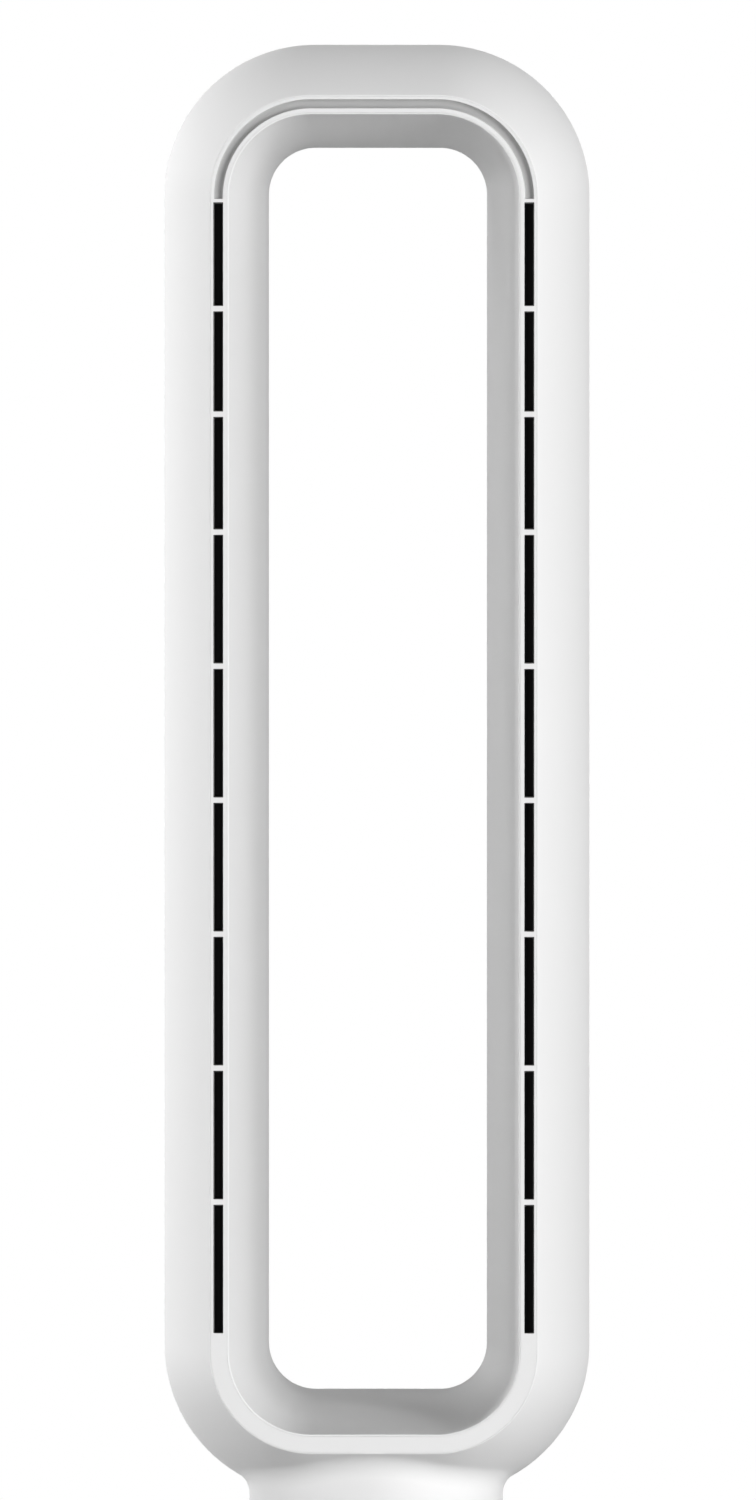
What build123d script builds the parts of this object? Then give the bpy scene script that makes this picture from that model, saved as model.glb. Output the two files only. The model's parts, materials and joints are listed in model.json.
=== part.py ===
from build123d import *
import math
import os

# Bladeless tower fan: a slotted air loop on a round body that swings on a weighted base.
# All sizes are in millimetres. The origin is the centre of the base on the floor, +Z is up and
# the front of the fan faces -Y.

os.makedirs("parts", exist_ok=True)

# ---------------------------------------------------------------------------
# Driving dimensions
# ---------------------------------------------------------------------------

# Air loop, measured on its front view and its section
loop_width = 200.0
loop_height = 682.4
corner_radius = 70.7
rim_inset = 23.1
rim_width = 9.0
wall_taper = 17.7
front_overhang = 8.4
back_overhang = 2.4
parting_y = 27.0
back_lip_radius = 8.0
shell_wall = 2.4
liner_wall = 2.0
back_seam_inset = 11.0
seam_gap = 0.2

# Slotted band on the front of the loop
bezel_plate = 3.0
shell_lip = 0.5
liner_lip = 0.8
slot_width = 4.5
slot_rib = 3.3
slot_count = 9
top_slot_lengths = (47.5, 46.1, 51.7)
slot_margin = 9.0
groove_depth = 1.9

# Air guides behind the slots
guide_wall = 0.8
guide_depth = 12.0
guide_bend_radius = 9.0
guide_bend_angle = 70.0

# Neck and round body, with the heights of its rings from the base up
neck_radius = 59.6
neck_blend = 12.0
head_gap = 2.0
housing_height = 77.0
grille_height = 100.0
collar_height = 27.0
neck_length = 35.6
fit_gap = 0.2

# Weighted base
base_radius = 120.0
base_top_z = 26.0
base_rim_z = 18.0
foot_height = 2.0
foot_radius = 8.0
pan_thickness = 3.0
cover_wall = 2.4

# Swing drive
swing_motor_radius = 14.0
swing_motor_margin = 4.2
fixed_gear_teeth = 40
pinion_teeth = 12
gear_width = 5.0
turntable_thickness = 4.0
hub_radius = 12.0
running_gap = 0.08

# Fan unit
shaft_radius = 3.0
impeller_margin = 10.8
impeller_inlet_step = 7.4
impeller_blade_reach = 16.4
impeller_nose_radius = 13.0
impeller_height = 34.0
impeller_drop = 74.0
blade_count = 9
blade_thickness = 1.4
blade_foot_lean = 60.0
blade_top_lean = 18.0
tip_gap = 0.6
shroud_wall = 1.6
vane_count = 11
bucket_height = 38.0

# Controls
fascia_width = 34.0
button_radius = 3.6
button_travel = 0.8
button_proud = 0.9

# ---------------------------------------------------------------------------
# Loop: heights, section, path and the sizes worked out from them
# ---------------------------------------------------------------------------

head_foot_z = base_top_z + head_gap
grille_foot_z = head_foot_z + housing_height
grille_top_z = grille_foot_z + grille_height
neck_foot_z = grille_top_z + collar_height
loop_foot_z = neck_foot_z + neck_length
loop_centre_z = loop_foot_z + loop_height / 2
bore_radius = neck_radius - shell_wall

corner_x = loop_width / 2 - corner_radius
corner_z = loop_height / 2 - corner_radius

front_y = -(neck_radius + front_overhang)
back_y = neck_radius + back_overhang
rim_outer = corner_radius - rim_inset
rim_inner = rim_outer - rim_width
back_inner = rim_inner - wall_taper
back_seam = back_inner + back_seam_inset

nose_depth = parting_y - front_y
nose_radius = (rim_inset**2 + nose_depth**2) / (2 * rim_inset)
nose_angle = math.degrees(math.asin(nose_depth / nose_radius))
heel_radius = back_y - parting_y

path_run = (rim_outer + rim_inner) / 2
slot_middle = (rim_outer + rim_inner) / 2 - (shell_lip - liner_lip) / 2
slot_inner = slot_middle - slot_width / 2
slot_outer = slot_middle + slot_width / 2
bezel_back_y = front_y + bezel_plate
neck_top_z = loop_centre_z - corner_z - rim_inner - 2 * liner_wall

# The section is drawn at the right side of the loop: local X is outward from the
# corner centre and local Y is the depth.
section_plane = Plane(origin=(corner_x, 0, loop_centre_z), x_dir=(1, 0, 0), z_dir=(0, 0, 1))


def loop_section(inset=0.0):
    """Teardrop section of the loop, drawn in from its surface by the given amount."""
    with BuildSketch() as section:
        with BuildLine():
            face = Line((rim_inner, front_y), (rim_outer, front_y))
            CenterArc((corner_radius - nose_radius, parting_y), nose_radius, -nose_angle, nose_angle)
            heel = CenterArc((corner_radius - heel_radius, parting_y), heel_radius, 0, 90)
            back = Line(heel @ 1, (back_inner, back_y))
            Line(back @ 1, face @ 0)
        make_face()
        back_lip = section.vertices().group_by(Axis.Y)[-1].sort_by(Axis.X)[0]
        fillet(back_lip, back_lip_radius)
        if inset:
            offset(amount=-inset)
    return section.sketch


def inner_zone(lip, spread):
    """Region of the section that lies on the aperture's side of the two seams."""
    past_face = front_y - shell_wall
    past_back = back_y + shell_wall
    middle = rim_inner + liner_wall + liner_lip
    with BuildSketch() as zone:
        with BuildLine():
            Polyline(
                (0, past_face),
                (lip, past_face),
                (lip, bezel_back_y),
                (middle, bezel_back_y),
                (back_seam + spread, back_y - back_lip_radius),
                (back_seam + spread, past_back),
                (0, past_back),
                close=True,
            )
        make_face()
    return zone.sketch


def loop_path():
    """Closed path round the loop, half way across its front band."""
    side = corner_x + path_run
    end = corner_z + path_run
    with BuildLine(Plane(origin=(0, 0, loop_centre_z), x_dir=(1, 0, 0), z_dir=(0, -1, 0))) as path:
        Line((side, 0), (side, corner_z))
        CenterArc((corner_x, corner_z), path_run, 0, 90)
        Line((corner_x, end), (-corner_x, end))
        CenterArc((-corner_x, corner_z), path_run, 90, 90)
        Line((-side, corner_z), (-side, -corner_z))
        CenterArc((-corner_x, -corner_z), path_run, 180, 90)
        Line((-corner_x, -end), (corner_x, -end))
        CenterArc((corner_x, -corner_z), path_run, 270, 90)
        Line((side, -corner_z), (side, 0))
    return path.wires()[0]


def carried_round(section):
    """The solid that a section leaves when it is carried once round the loop."""
    with BuildPart() as ring:
        with BuildSketch(section_plane):
            add(section)
        sweep(path=loop_path())
    return ring.part


def loop_on_neck(inset=0.0):
    """The loop and its round neck as one filled form, blended where they meet."""
    with BuildPart() as form:
        add(carried_round(loop_section(inset)))
        with BuildSketch(Plane.XY.offset(neck_foot_z)):
            Circle(neck_radius - inset)
        extrude(amount=neck_top_z - neck_foot_z)
        neck_side = form.faces().filter_by(GeomType.CYLINDER).sort_by(Axis.Z)[0]
        fillet(neck_side.edges().filter_by(GeomType.BSPLINE), neck_blend + inset)
    return form.part


# Screw posts inside the neck, two in each shell half
post_radius = 4.0
post_height = 14.0
post_stand_off = 2.8
post_circle = bore_radius - post_radius - post_stand_off
collar_ledge = 3.0
collar_spigot_height = 8.0
post_foot_z = neck_foot_z + collar_spigot_height
pilot_radius = 1.3

with BuildPart() as neck_posts:
    with BuildSketch(Plane.XY.offset(post_foot_z)):
        with PolarLocations(post_circle, 4, start_angle=45):
            Circle(post_radius)
        with PolarLocations((post_circle + bore_radius) / 2, 4, start_angle=45):
            Rectangle(bore_radius - post_circle + shell_wall / 4, post_radius)
    extrude(amount=post_height)
    with PolarLocations(post_circle, 4, start_angle=45):
        with Locations((0, 0, post_foot_z + post_height / 2)):
            Hole(pilot_radius)

with BuildPart() as shell_pair:
    add(loop_on_neck())
    add(loop_on_neck(shell_wall), mode=Mode.SUBTRACT)
    add(carried_round(inner_zone(rim_outer - shell_lip, seam_gap)), mode=Mode.SUBTRACT)
    add(neck_posts.part)

# ---- Front shell: outside of the loop and neck ahead of the parting line ----
with BuildPart() as front_shell:
    add(shell_pair.part)
    split(bisect_by=Plane.XZ.offset(-parting_y), keep=Keep.TOP)
front_shell.part.label = "front_shell"
export_step(front_shell.part, "parts/front_shell.step")

# ---- Rear shell: outside of the loop and neck behind the parting line ----
with BuildPart() as rear_shell:
    add(shell_pair.part)
    split(bisect_by=Plane.XZ.offset(-parting_y), keep=Keep.BOTTOM)
rear_shell.part.label = "rear_shell"
export_step(rear_shell.part, "parts/rear_shell.step")

# ---- Inner liner: tapered wall of the aperture with a rounded back lip ----
with BuildSketch() as liner_section:
    add(loop_section())
    add(loop_section(liner_wall), mode=Mode.SUBTRACT)
    add(inner_zone(rim_inner + liner_lip, 0), mode=Mode.INTERSECT)

with BuildPart() as inner_liner:
    add(carried_round(liner_section.sketch))
inner_liner.part.label = "inner_liner"
export_step(inner_liner.part, "parts/inner_liner.step")

# ---- Outlet bezel: front band with nine slots on each side and a grooved top arch ----
bezel_inner = rim_inner + liner_lip + seam_gap
bezel_outer = rim_outer - shell_lip - seam_gap
slots_top_z = loop_centre_z + corner_z - slot_rib
slots_foot_z = loop_centre_z - corner_z + slot_margin
slots_open = slots_top_z - slots_foot_z - (slot_count - 1) * slot_rib
long_slot_count = slot_count - len(top_slot_lengths)
long_slot_length = (slots_open - sum(top_slot_lengths)) / long_slot_count
slot_lengths = list(top_slot_lengths) + [long_slot_length] * long_slot_count
slot_feet = []
slot_top = slots_top_z
for slot_length in slot_lengths:
    slot_feet.append(slot_top - slot_length)
    slot_top -= slot_length + slot_rib

with BuildSketch() as bezel_section:
    with BuildLine():
        Polyline(
            (bezel_inner, front_y),
            (bezel_outer, front_y),
            (bezel_outer, bezel_back_y),
            (bezel_inner, bezel_back_y),
            close=True,
        )
    make_face()

slot_path = corner_x + slot_middle
with BuildLine(Plane(origin=(0, 0, loop_centre_z), x_dir=(1, 0, 0), z_dir=(0, -1, 0))) as groove_path:
    CenterArc((corner_x, corner_z), slot_middle, 0, 90)
    Line((corner_x, corner_z + slot_middle), (-corner_x, corner_z + slot_middle))
    CenterArc((-corner_x, corner_z), slot_middle, 90, 90)

with BuildPart() as groove:
    with BuildSketch(section_plane.offset(corner_z)):
        with BuildLine():
            ThreePointArc(
                (slot_inner, front_y), (slot_middle, front_y + groove_depth), (slot_outer, front_y)
            )
            Polyline(
                (slot_outer, front_y),
                (slot_outer, front_y - groove_depth),
                (slot_inner, front_y - groove_depth),
                (slot_inner, front_y),
            )
        make_face()
    sweep(path=groove_path.wires()[0])

with BuildPart() as outlet_bezel:
    add(carried_round(bezel_section.sketch))
    for slot_z, slot_length in zip(slot_feet, slot_lengths):
        with BuildSketch(Plane.XY.offset(slot_z)):
            with Locations((slot_path, front_y), (-slot_path, front_y)):
                Rectangle(slot_width, 3 * bezel_plate)
        extrude(amount=slot_length, mode=Mode.SUBTRACT)
    add(groove.part, mode=Mode.SUBTRACT)
outlet_bezel.part.label = "outlet_bezel"
export_step(outlet_bezel.part, "parts/outlet_bezel.step")

# ---- Air guides: curved nozzles that lead the air from the loop into the slots ----
guide_foot_z = slots_foot_z - slot_rib
guide_height = slots_top_z + slot_rib - guide_foot_z


def guide_vane(outward, bend_radius):
    """One curved wall of a guide: straight behind the slot, then bent outward."""
    with BuildSketch() as vane:
        with BuildLine():
            run = Line((outward, bezel_back_y), (outward, bezel_back_y + guide_depth))
            JernArc(run @ 1, run % 1, bend_radius, -guide_bend_angle)
        trace(line_width=guide_wall)
    return vane.sketch


with BuildPart() as right_air_guide:
    with BuildSketch(Plane(origin=(corner_x, 0, guide_foot_z), x_dir=(1, 0, 0), z_dir=(0, 0, 1))):
        add(guide_vane(slot_inner - guide_wall / 4, guide_bend_radius + slot_width))
        add(guide_vane(slot_outer + guide_wall / 4, guide_bend_radius))
    extrude(amount=guide_height)
    web_feet = [foot - slot_rib for foot in slot_feet] + [slots_top_z]
    for web_foot in web_feet:
        with BuildSketch(Plane.XY.offset(web_foot)):
            with Locations((slot_path, bezel_back_y + guide_depth / 2)):
                Rectangle(slot_width + guide_wall / 2, guide_depth)
        extrude(amount=slot_rib)
right_air_guide.part.label = "right_air_guide"
export_step(right_air_guide.part, "parts/right_air_guide.step")

with BuildPart() as left_air_guide:
    add(mirror(right_air_guide.part, about=Plane.YZ, mode=Mode.PRIVATE))
left_air_guide.part.label = "left_air_guide"
export_step(left_air_guide.part, "parts/left_air_guide.step")

# ---------------------------------------------------------------------------
# Round body: collar, grille, housing and what they hold
# ---------------------------------------------------------------------------


def ring_profile(inner, outer, foot, top):
    """Rectangle in the radius and height plane, to be turned about the upright axis."""
    with BuildSketch(Plane.XZ) as profile:
        with Locations(((inner + outer) / 2, (foot + top) / 2)):
            Rectangle(outer - inner, top - foot)
    return profile.sketch


def turned_ring(inner, outer, foot, top):
    """Plain ring round the upright axis."""
    with BuildPart() as ring:
        add(ring_profile(inner, outer, foot, top))
        revolve(axis=Axis.Z)
    return ring.part


def screw_set(circle, count, start, seat_z, shank, length, head, head_height, up=True):
    """Hexagon-head screws on a circle; heads rest on seat_z and shanks run up or down from it."""
    shank_foot, head_foot = (seat_z, seat_z - head_height) if up else (seat_z - length, seat_z)
    with BuildPart() as screws:
        with BuildSketch(Plane.XY.offset(head_foot)):
            with PolarLocations(circle, count, start_angle=start):
                RegularPolygon(head, 6)
        extrude(amount=head_height)
        with BuildSketch(Plane.XY.offset(shank_foot)):
            with PolarLocations(circle, count, start_angle=start):
                RegularPolygon(shank, 6)
        extrude(amount=length)
    return screws.part


screw_clearance = 0.1
screw_shank = pilot_radius - screw_clearance
screw_head = 2.6
screw_head_height = 1.8
screw_bite = 9.0

# ---- Upper collar: joins the neck to the grille and hangs the fan unit ----
impeller_tip_radius = bore_radius - impeller_margin
impeller_inlet_radius = impeller_tip_radius - impeller_inlet_step
impeller_hub_radius = impeller_tip_radius - impeller_blade_reach
collar_shelf_thickness = 2.4
shelf_clearance = 1.6
shelf_inner = impeller_tip_radius + tip_gap + shroud_wall + shelf_clearance
spigot_outer = bore_radius - fit_gap
ledge_inner = post_circle - post_radius

with BuildPart() as upper_collar:
    add(turned_ring(bore_radius, neck_radius, grille_top_z, neck_foot_z))
    add(turned_ring(shelf_inner, neck_radius, grille_top_z, grille_top_z + collar_shelf_thickness))
    add(turned_ring(spigot_outer - shell_wall, neck_radius, neck_foot_z - shell_wall, neck_foot_z))
    add(turned_ring(spigot_outer - shell_wall, spigot_outer, neck_foot_z, post_foot_z))
    add(turned_ring(ledge_inner, spigot_outer, post_foot_z - collar_ledge, post_foot_z))
    with PolarLocations(post_circle, 4, start_angle=45):
        with Locations((0, 0, post_foot_z)):
            Hole(pilot_radius, depth=2 * collar_ledge)
upper_collar.part.label = "upper_collar"
export_step(upper_collar.part, "parts/upper_collar.step")

neck_screws = screw_set(
    post_circle, 4, 45, post_foot_z - collar_ledge, screw_shank,
    collar_ledge + screw_bite, screw_head, screw_head_height,
)
neck_screws.label = "neck_screws"
export_step(neck_screws, "parts/neck_screws.step")

# ---- Inlet grille: two rows of upright slots round the body ----
grille_rows = 2
grille_columns = 32
grille_slot_width = 3.6
grille_rib = 7.0
grille_slot_height = (grille_height - (grille_rows + 1) * grille_rib) / grille_rows

with BuildPart() as inlet_grille:
    add(turned_ring(bore_radius, neck_radius, grille_foot_z, grille_top_z))
    for row in range(grille_rows):
        row_z = grille_foot_z + grille_rib + row * (grille_slot_height + grille_rib)
        with BuildSketch(Plane.XY.offset(row_z)):
            with PolarLocations(neck_radius, grille_columns):
                Rectangle(4 * shell_wall, grille_slot_width)
        extrude(amount=grille_slot_height, mode=Mode.SUBTRACT)
inlet_grille.part.label = "inlet_grille"
export_step(inlet_grille.part, "parts/inlet_grille.step")

# ---- Dust screen: fine sleeve just inside the grille ----
screen_thickness = 0.6
screen_outer = bore_radius - fit_gap
dust_screen = turned_ring(
    screen_outer - screen_thickness, screen_outer, grille_foot_z + fit_gap, grille_top_z - fit_gap
)
dust_screen.label = "dust_screen"
export_step(dust_screen, "parts/dust_screen.step")

# ---- Housing divider: closes the electronics off from the inlet ----
divider_thickness = 2.4
divider_ledge = 3.0
divider_drop = 2.0
divider_z = grille_foot_z - divider_thickness - divider_drop
divider_radius = bore_radius - fit_gap
board_drop = 14.6
board_z = divider_z - board_drop
board_thickness = 1.6
board_width = 64.0
board_depth = 52.0
board_y = 10.0
board_post_radius = 3.0
board_inset = 5.0
board_component_height = 9.0
capacitor_radius = 5.0
connector_width = 18.0
connector_depth = 14.0
component_spread = 12.0
wire_hole_radius = 5.0

with BuildPart() as housing_divider:
    with BuildSketch(Plane.XY.offset(divider_z)):
        Circle(divider_radius)
        with Locations((0, board_y)):
            Circle(wire_hole_radius, mode=Mode.SUBTRACT)
    extrude(amount=divider_thickness)
    with BuildSketch(Plane.XY.offset(board_z + board_thickness)):
        with Locations((0, board_y)):
            with GridLocations(board_width - 2 * board_inset, board_depth - 2 * board_inset, 2, 2):
                Circle(board_post_radius)
                Circle(pilot_radius, mode=Mode.SUBTRACT)
    extrude(amount=divider_z - board_z - board_thickness)
housing_divider.part.label = "housing_divider"
export_step(housing_divider.part, "parts/housing_divider.step")

# ---- Main board with its connectors and capacitors ----
with BuildPart() as main_board:
    with BuildSketch(Plane.XY.offset(board_z)):
        with Locations((0, board_y)):
            Rectangle(board_width, board_depth)
            with GridLocations(board_width - 2 * board_inset, board_depth - 2 * board_inset, 2, 2):
                Circle(pilot_radius, mode=Mode.SUBTRACT)
    extrude(amount=board_thickness)
    with BuildSketch(Plane.XY.offset(board_z)):
        with Locations((0, board_y + component_spread)):
            with GridLocations(component_spread, 0, 3, 1):
                Circle(capacitor_radius)
        with Locations((0, board_y - component_spread)):
            Rectangle(connector_width, connector_depth)
    extrude(amount=-board_component_height)
main_board.part.label = "main_board"
export_step(main_board.part, "parts/main_board.step")

with BuildPart() as board_screws:
    with BuildSketch(Plane.XY.offset(board_z)):
        with Locations((0, board_y)):
            with GridLocations(board_width - 2 * board_inset, board_depth - 2 * board_inset, 2, 2):
                RegularPolygon(screw_shank, 6)
    extrude(amount=board_thickness + screw_bite)
    with BuildSketch(Plane.XY.offset(board_z)):
        with Locations((0, board_y)):
            with GridLocations(board_width - 2 * board_inset, board_depth - 2 * board_inset, 2, 2):
                RegularPolygon(screw_head, 6)
    extrude(amount=-screw_head_height)
board_screws.part.label = "board_screws"
export_step(board_screws.part, "parts/board_screws.step")

# ---- Turntable sizes, used by the housing that stands on it ----
gear_lift = 1.0
gear_centre_distance = bore_radius - swing_motor_radius - swing_motor_margin
gear_module = 2 * gear_centre_distance / (fixed_gear_teeth + pinion_teeth)
gear_z = base_top_z + gear_lift
washer_thickness = 1.0
turntable_z = gear_z + gear_width + washer_thickness
turntable_top_z = turntable_z + turntable_thickness
turntable_radius = bore_radius - fit_gap
turntable_boss_radius = 4.0
turntable_boss_height = 12.0
turntable_screw_circle = turntable_radius - turntable_boss_radius - 1.0

# ---- Control panel sizes ----
panel_plane_y = -math.sqrt(neck_radius**2 - (fascia_width / 2) ** 2)
fascia_thickness = 2.2
fascia_gap = 0.2
panel_ledge = 1.6
panel_ledge_depth = 2.0
panel_wall = 3.4
panel_margin = 0.4
panel_depth = 8.0
panel_back_y = panel_plane_y + panel_depth
fascia_back_y = panel_plane_y + fascia_thickness
fascia_centre_z = (turntable_top_z + divider_z) / 2
fascia_height = divider_z - turntable_top_z - 2 * (panel_wall + panel_margin)


def capsule(grow=0.0):
    """Upright capsule of the control panel, larger all round by the given amount."""
    with BuildSketch() as outline:
        SlotOverall(fascia_height + 2 * grow, fascia_width + 2 * grow, rotation=90)
    return outline.sketch


def panel_face(depth_y):
    """Plane of the control panel at a depth: local X to the right, local Y up, facing forward."""
    return Plane(origin=(0, depth_y, fascia_centre_z), x_dir=(1, 0, 0), z_dir=(0, -1, 0))


# ---- Lower housing: drum that holds the electronics, with a framed panel opening ----
with BuildPart() as panel_frame:
    with BuildSketch(panel_face(panel_back_y)):
        add(capsule(panel_wall))
    extrude(amount=neck_radius + panel_back_y)
    with BuildSketch(Plane.XY):
        Circle(neck_radius)
    extrude(amount=grille_foot_z, mode=Mode.INTERSECT)

ledge_height = 2.0
ledge_root = bore_radius + shell_wall / 4

with BuildPart() as lower_housing:
    add(turned_ring(bore_radius, neck_radius, head_foot_z, grille_foot_z))
    add(turned_ring(bore_radius - divider_ledge, ledge_root, divider_z - ledge_height, divider_z))
    add(panel_frame.part)
    with BuildSketch(Plane.XY.offset(turntable_top_z)):
        with PolarLocations(turntable_screw_circle, 4, start_angle=45):
            Circle(turntable_boss_radius)
        with PolarLocations(turntable_screw_circle + 3, 4, start_angle=45):
            Rectangle(5.0, turntable_boss_radius)
    extrude(amount=turntable_boss_height)
    with PolarLocations(turntable_screw_circle, 4, start_angle=45):
        with Locations((0, 0, turntable_top_z + turntable_boss_height / 2)):
            Hole(pilot_radius, depth=turntable_boss_height / 2)
    with BuildSketch(panel_face(fascia_back_y)):
        add(capsule(fascia_gap))
    extrude(amount=neck_radius, mode=Mode.SUBTRACT)
    with BuildSketch(panel_face(panel_back_y)):
        add(capsule(-panel_ledge))
    extrude(amount=neck_radius, mode=Mode.SUBTRACT)
    with BuildSketch(panel_face(panel_back_y)):
        add(capsule(fascia_gap))
    extrude(amount=panel_back_y - fascia_back_y - panel_ledge_depth, mode=Mode.SUBTRACT)
lower_housing.part.label = "lower_housing"
export_step(lower_housing.part, "parts/lower_housing.step")

# ---- Control fascia, display window and the five push buttons ----
button_gap = 0.3
button_flange = 0.9
button_flange_thickness = 0.8
button_plate = 2 * (button_radius + button_flange)
button_stem = 3.0
button_pitch = button_plate + 1.0
upper_row = -1.0
lower_row = upper_row - button_pitch - 1.0
button_places = {
    "speed_down_button": (-button_pitch, upper_row),
    "power_button": (0.0, upper_row),
    "speed_up_button": (button_pitch, upper_row),
    "swing_button": (-button_pitch / 2, lower_row),
    "timer_button": (button_pitch / 2, lower_row),
}
window_width = 20.0
window_height = 10.0
window_offset = upper_row + button_pitch / 2 + window_height / 2 + 2.6

with BuildPart() as control_fascia:
    with BuildSketch(panel_face(fascia_back_y)):
        add(capsule())
        with Locations(*button_places.values()):
            Circle(button_radius + button_gap, mode=Mode.SUBTRACT)
        with Locations((0, window_offset)):
            Rectangle(window_width + 2 * fascia_gap, window_height + 2 * fascia_gap, mode=Mode.SUBTRACT)
    extrude(amount=fascia_thickness)
    front_edge = control_fascia.faces().sort_by(Axis.Y)[0].outer_wire().edges()
    chamfer(front_edge, length=0.5)
control_fascia.part.label = "control_fascia"
export_step(control_fascia.part, "parts/control_fascia.step")

with BuildPart() as display_window:
    with BuildSketch(panel_face(fascia_back_y)):
        with Locations((0, window_offset)):
            Rectangle(window_width, window_height)
    extrude(amount=fascia_thickness - 0.3)
    with BuildSketch(panel_face(fascia_back_y + 0.9)):
        with Locations((0, window_offset)):
            Rectangle(window_width + 4.0, window_height + 4.0)
    extrude(amount=0.9)
display_window.part.label = "display_window"
export_step(display_window.part, "parts/display_window.step")

flange_front_y = fascia_back_y + 0.1
stem_back_y = flange_front_y + button_flange_thickness + 0.6
for button_name, (button_x, button_up) in button_places.items():
    with BuildPart() as button:
        with BuildSketch(panel_face(flange_front_y)):
            with Locations((button_x, button_up)):
                Circle(button_radius)
        extrude(amount=flange_front_y - panel_plane_y + button_proud)
        cap_rim = button.faces().sort_by(Axis.Y)[0].edges()
        chamfer(cap_rim, length=0.4)
        with BuildSketch(panel_face(flange_front_y + button_flange_thickness)):
            with Locations((button_x, button_up)):
                Rectangle(button_plate, button_plate)
        extrude(amount=button_flange_thickness)
        with BuildSketch(panel_face(stem_back_y)):
            with Locations((button_x, button_up)):
                Rectangle(button_stem, button_stem)
        extrude(amount=stem_back_y - flange_front_y)
    button.part.label = button_name
    export_step(button.part, f"parts/{button_name}.step")

# ---- Control board behind the fascia, with one key switch per button ----
switch_gap = button_travel + 0.1
switch_front_y = stem_back_y + switch_gap
switch_body_y = switch_front_y + 0.5
switch_size = 6.0
plunger_size = 2.8

with BuildPart() as key_switches:
    with BuildSketch(panel_face(panel_back_y)):
        with Locations(*button_places.values()):
            Rectangle(switch_size, switch_size)
    extrude(amount=panel_back_y - switch_body_y)
    with BuildSketch(panel_face(switch_body_y)):
        with Locations(*button_places.values()):
            Rectangle(plunger_size, plunger_size)
    extrude(amount=switch_body_y - switch_front_y)
key_switches.part.label = "key_switches"
export_step(key_switches.part, "parts/key_switches.step")

with BuildPart() as control_board:
    with BuildSketch(panel_face(panel_back_y + board_thickness)):
        add(capsule(panel_wall / 2))
    extrude(amount=board_thickness)
    with BuildSketch(panel_face(panel_back_y)):
        with Locations((0, window_offset)):
            Rectangle(window_width - 2, window_height - 2)
    extrude(amount=panel_back_y - fascia_back_y - 0.9)
control_board.part.label = "control_board"
export_step(control_board.part, "parts/control_board.step")

# ---------------------------------------------------------------------------
# Fan unit: shroud, mixed-flow impeller and motor in its vaned bucket
# ---------------------------------------------------------------------------

impeller_foot_z = grille_top_z - impeller_drop
impeller_top_z = impeller_foot_z + impeller_height
shroud_throat = impeller_inlet_radius + tip_gap
shroud_bore = impeller_tip_radius + tip_gap
mount_thickness = 2.0
shroud_flange_z = grille_top_z + collar_shelf_thickness + mount_thickness
shroud_flange_radius = bore_radius - 2.5
shroud_flange_thickness = 2.0
mouth_height = 8.0
mouth_flare = 5.0


mouth_z = impeller_foot_z - mouth_height
shroud_flange_top_z = shroud_flange_z + shroud_flange_thickness

with BuildPart() as impeller_shroud:
    with BuildSketch(Plane.XZ):
        with BuildLine():
            Polyline(
                (shroud_throat + mouth_flare, mouth_z),
                (shroud_throat, impeller_foot_z),
                (shroud_bore, impeller_top_z),
                (shroud_bore, shroud_flange_top_z),
                (shroud_flange_radius, shroud_flange_top_z),
                (shroud_flange_radius, shroud_flange_z),
                (shroud_bore + shroud_wall, shroud_flange_z),
                (shroud_bore + shroud_wall, impeller_top_z),
                (shroud_throat + shroud_wall, impeller_foot_z),
                (shroud_throat + mouth_flare + shroud_wall, mouth_z),
                close=True,
            )
        make_face()
    revolve(axis=Axis.Z)
impeller_shroud.part.label = "impeller_shroud"
export_step(impeller_shroud.part, "parts/impeller_shroud.step")

# ---- Impeller: arched blades between a tapered hub and the shroud ----
fit_clearance = 0.02
hub_boss_radius = 7.0
hub_wall = 2.0
hub_boss_drop = 4.0
hub_slope = (impeller_hub_radius - impeller_nose_radius) / impeller_height
hub_floor_radius = impeller_nose_radius + (hub_slope - 1) * hub_wall
hub_boss_top_z = impeller_top_z - hub_boss_drop


def arched_vane(foot_z, height, thickness, foot_lean, top_lean, hand=1):
    """Vane of one arched section, drawn as seen from outside and extruded out from the axis."""
    foot = math.radians(foot_lean)
    top = math.radians(top_lean)
    bend_radius = height / (math.sin(foot) - math.sin(top))
    half_width = bend_radius * (math.cos(top) - math.cos(foot)) / 2
    with BuildPart() as vane:
        with BuildSketch(Plane.YZ):
            with BuildLine():
                JernArc(
                    (-hand * half_width, foot_z),
                    (hand * math.sin(foot), math.cos(foot)),
                    bend_radius,
                    hand * (foot_lean - top_lean),
                )
            trace(line_width=thickness)
        extrude(amount=shroud_bore)
    return vane.part


with BuildPart() as blade:
    with BuildSketch(Plane.XZ):
        with BuildLine():
            Polyline(
                (impeller_nose_radius - hub_wall / 2, impeller_foot_z),
                (impeller_hub_radius - hub_wall / 2, impeller_top_z),
                (impeller_tip_radius, impeller_top_z),
                (impeller_inlet_radius, impeller_foot_z),
                close=True,
            )
        make_face()
    revolve(axis=Axis.Z)
    add(
        arched_vane(
            impeller_foot_z, impeller_height, blade_thickness, blade_foot_lean, blade_top_lean
        ),
        mode=Mode.INTERSECT,
    )

with BuildPart() as impeller:
    with BuildSketch(Plane.XZ):
        with BuildLine():
            Polyline(
                (shaft_radius + fit_clearance, impeller_foot_z),
                (impeller_nose_radius, impeller_foot_z),
                (impeller_hub_radius, impeller_top_z),
                (impeller_hub_radius - hub_wall, impeller_top_z),
                (hub_floor_radius, impeller_foot_z + hub_wall),
                (hub_boss_radius, impeller_foot_z + hub_wall),
                (hub_boss_radius, hub_boss_top_z),
                (shaft_radius + fit_clearance, hub_boss_top_z),
                close=True,
            )
        make_face()
    revolve(axis=Axis.Z)
    with PolarLocations(0, blade_count):
        add(blade.part)
impeller.part.label = "impeller"
export_step(impeller.part, "parts/impeller.step")

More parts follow.
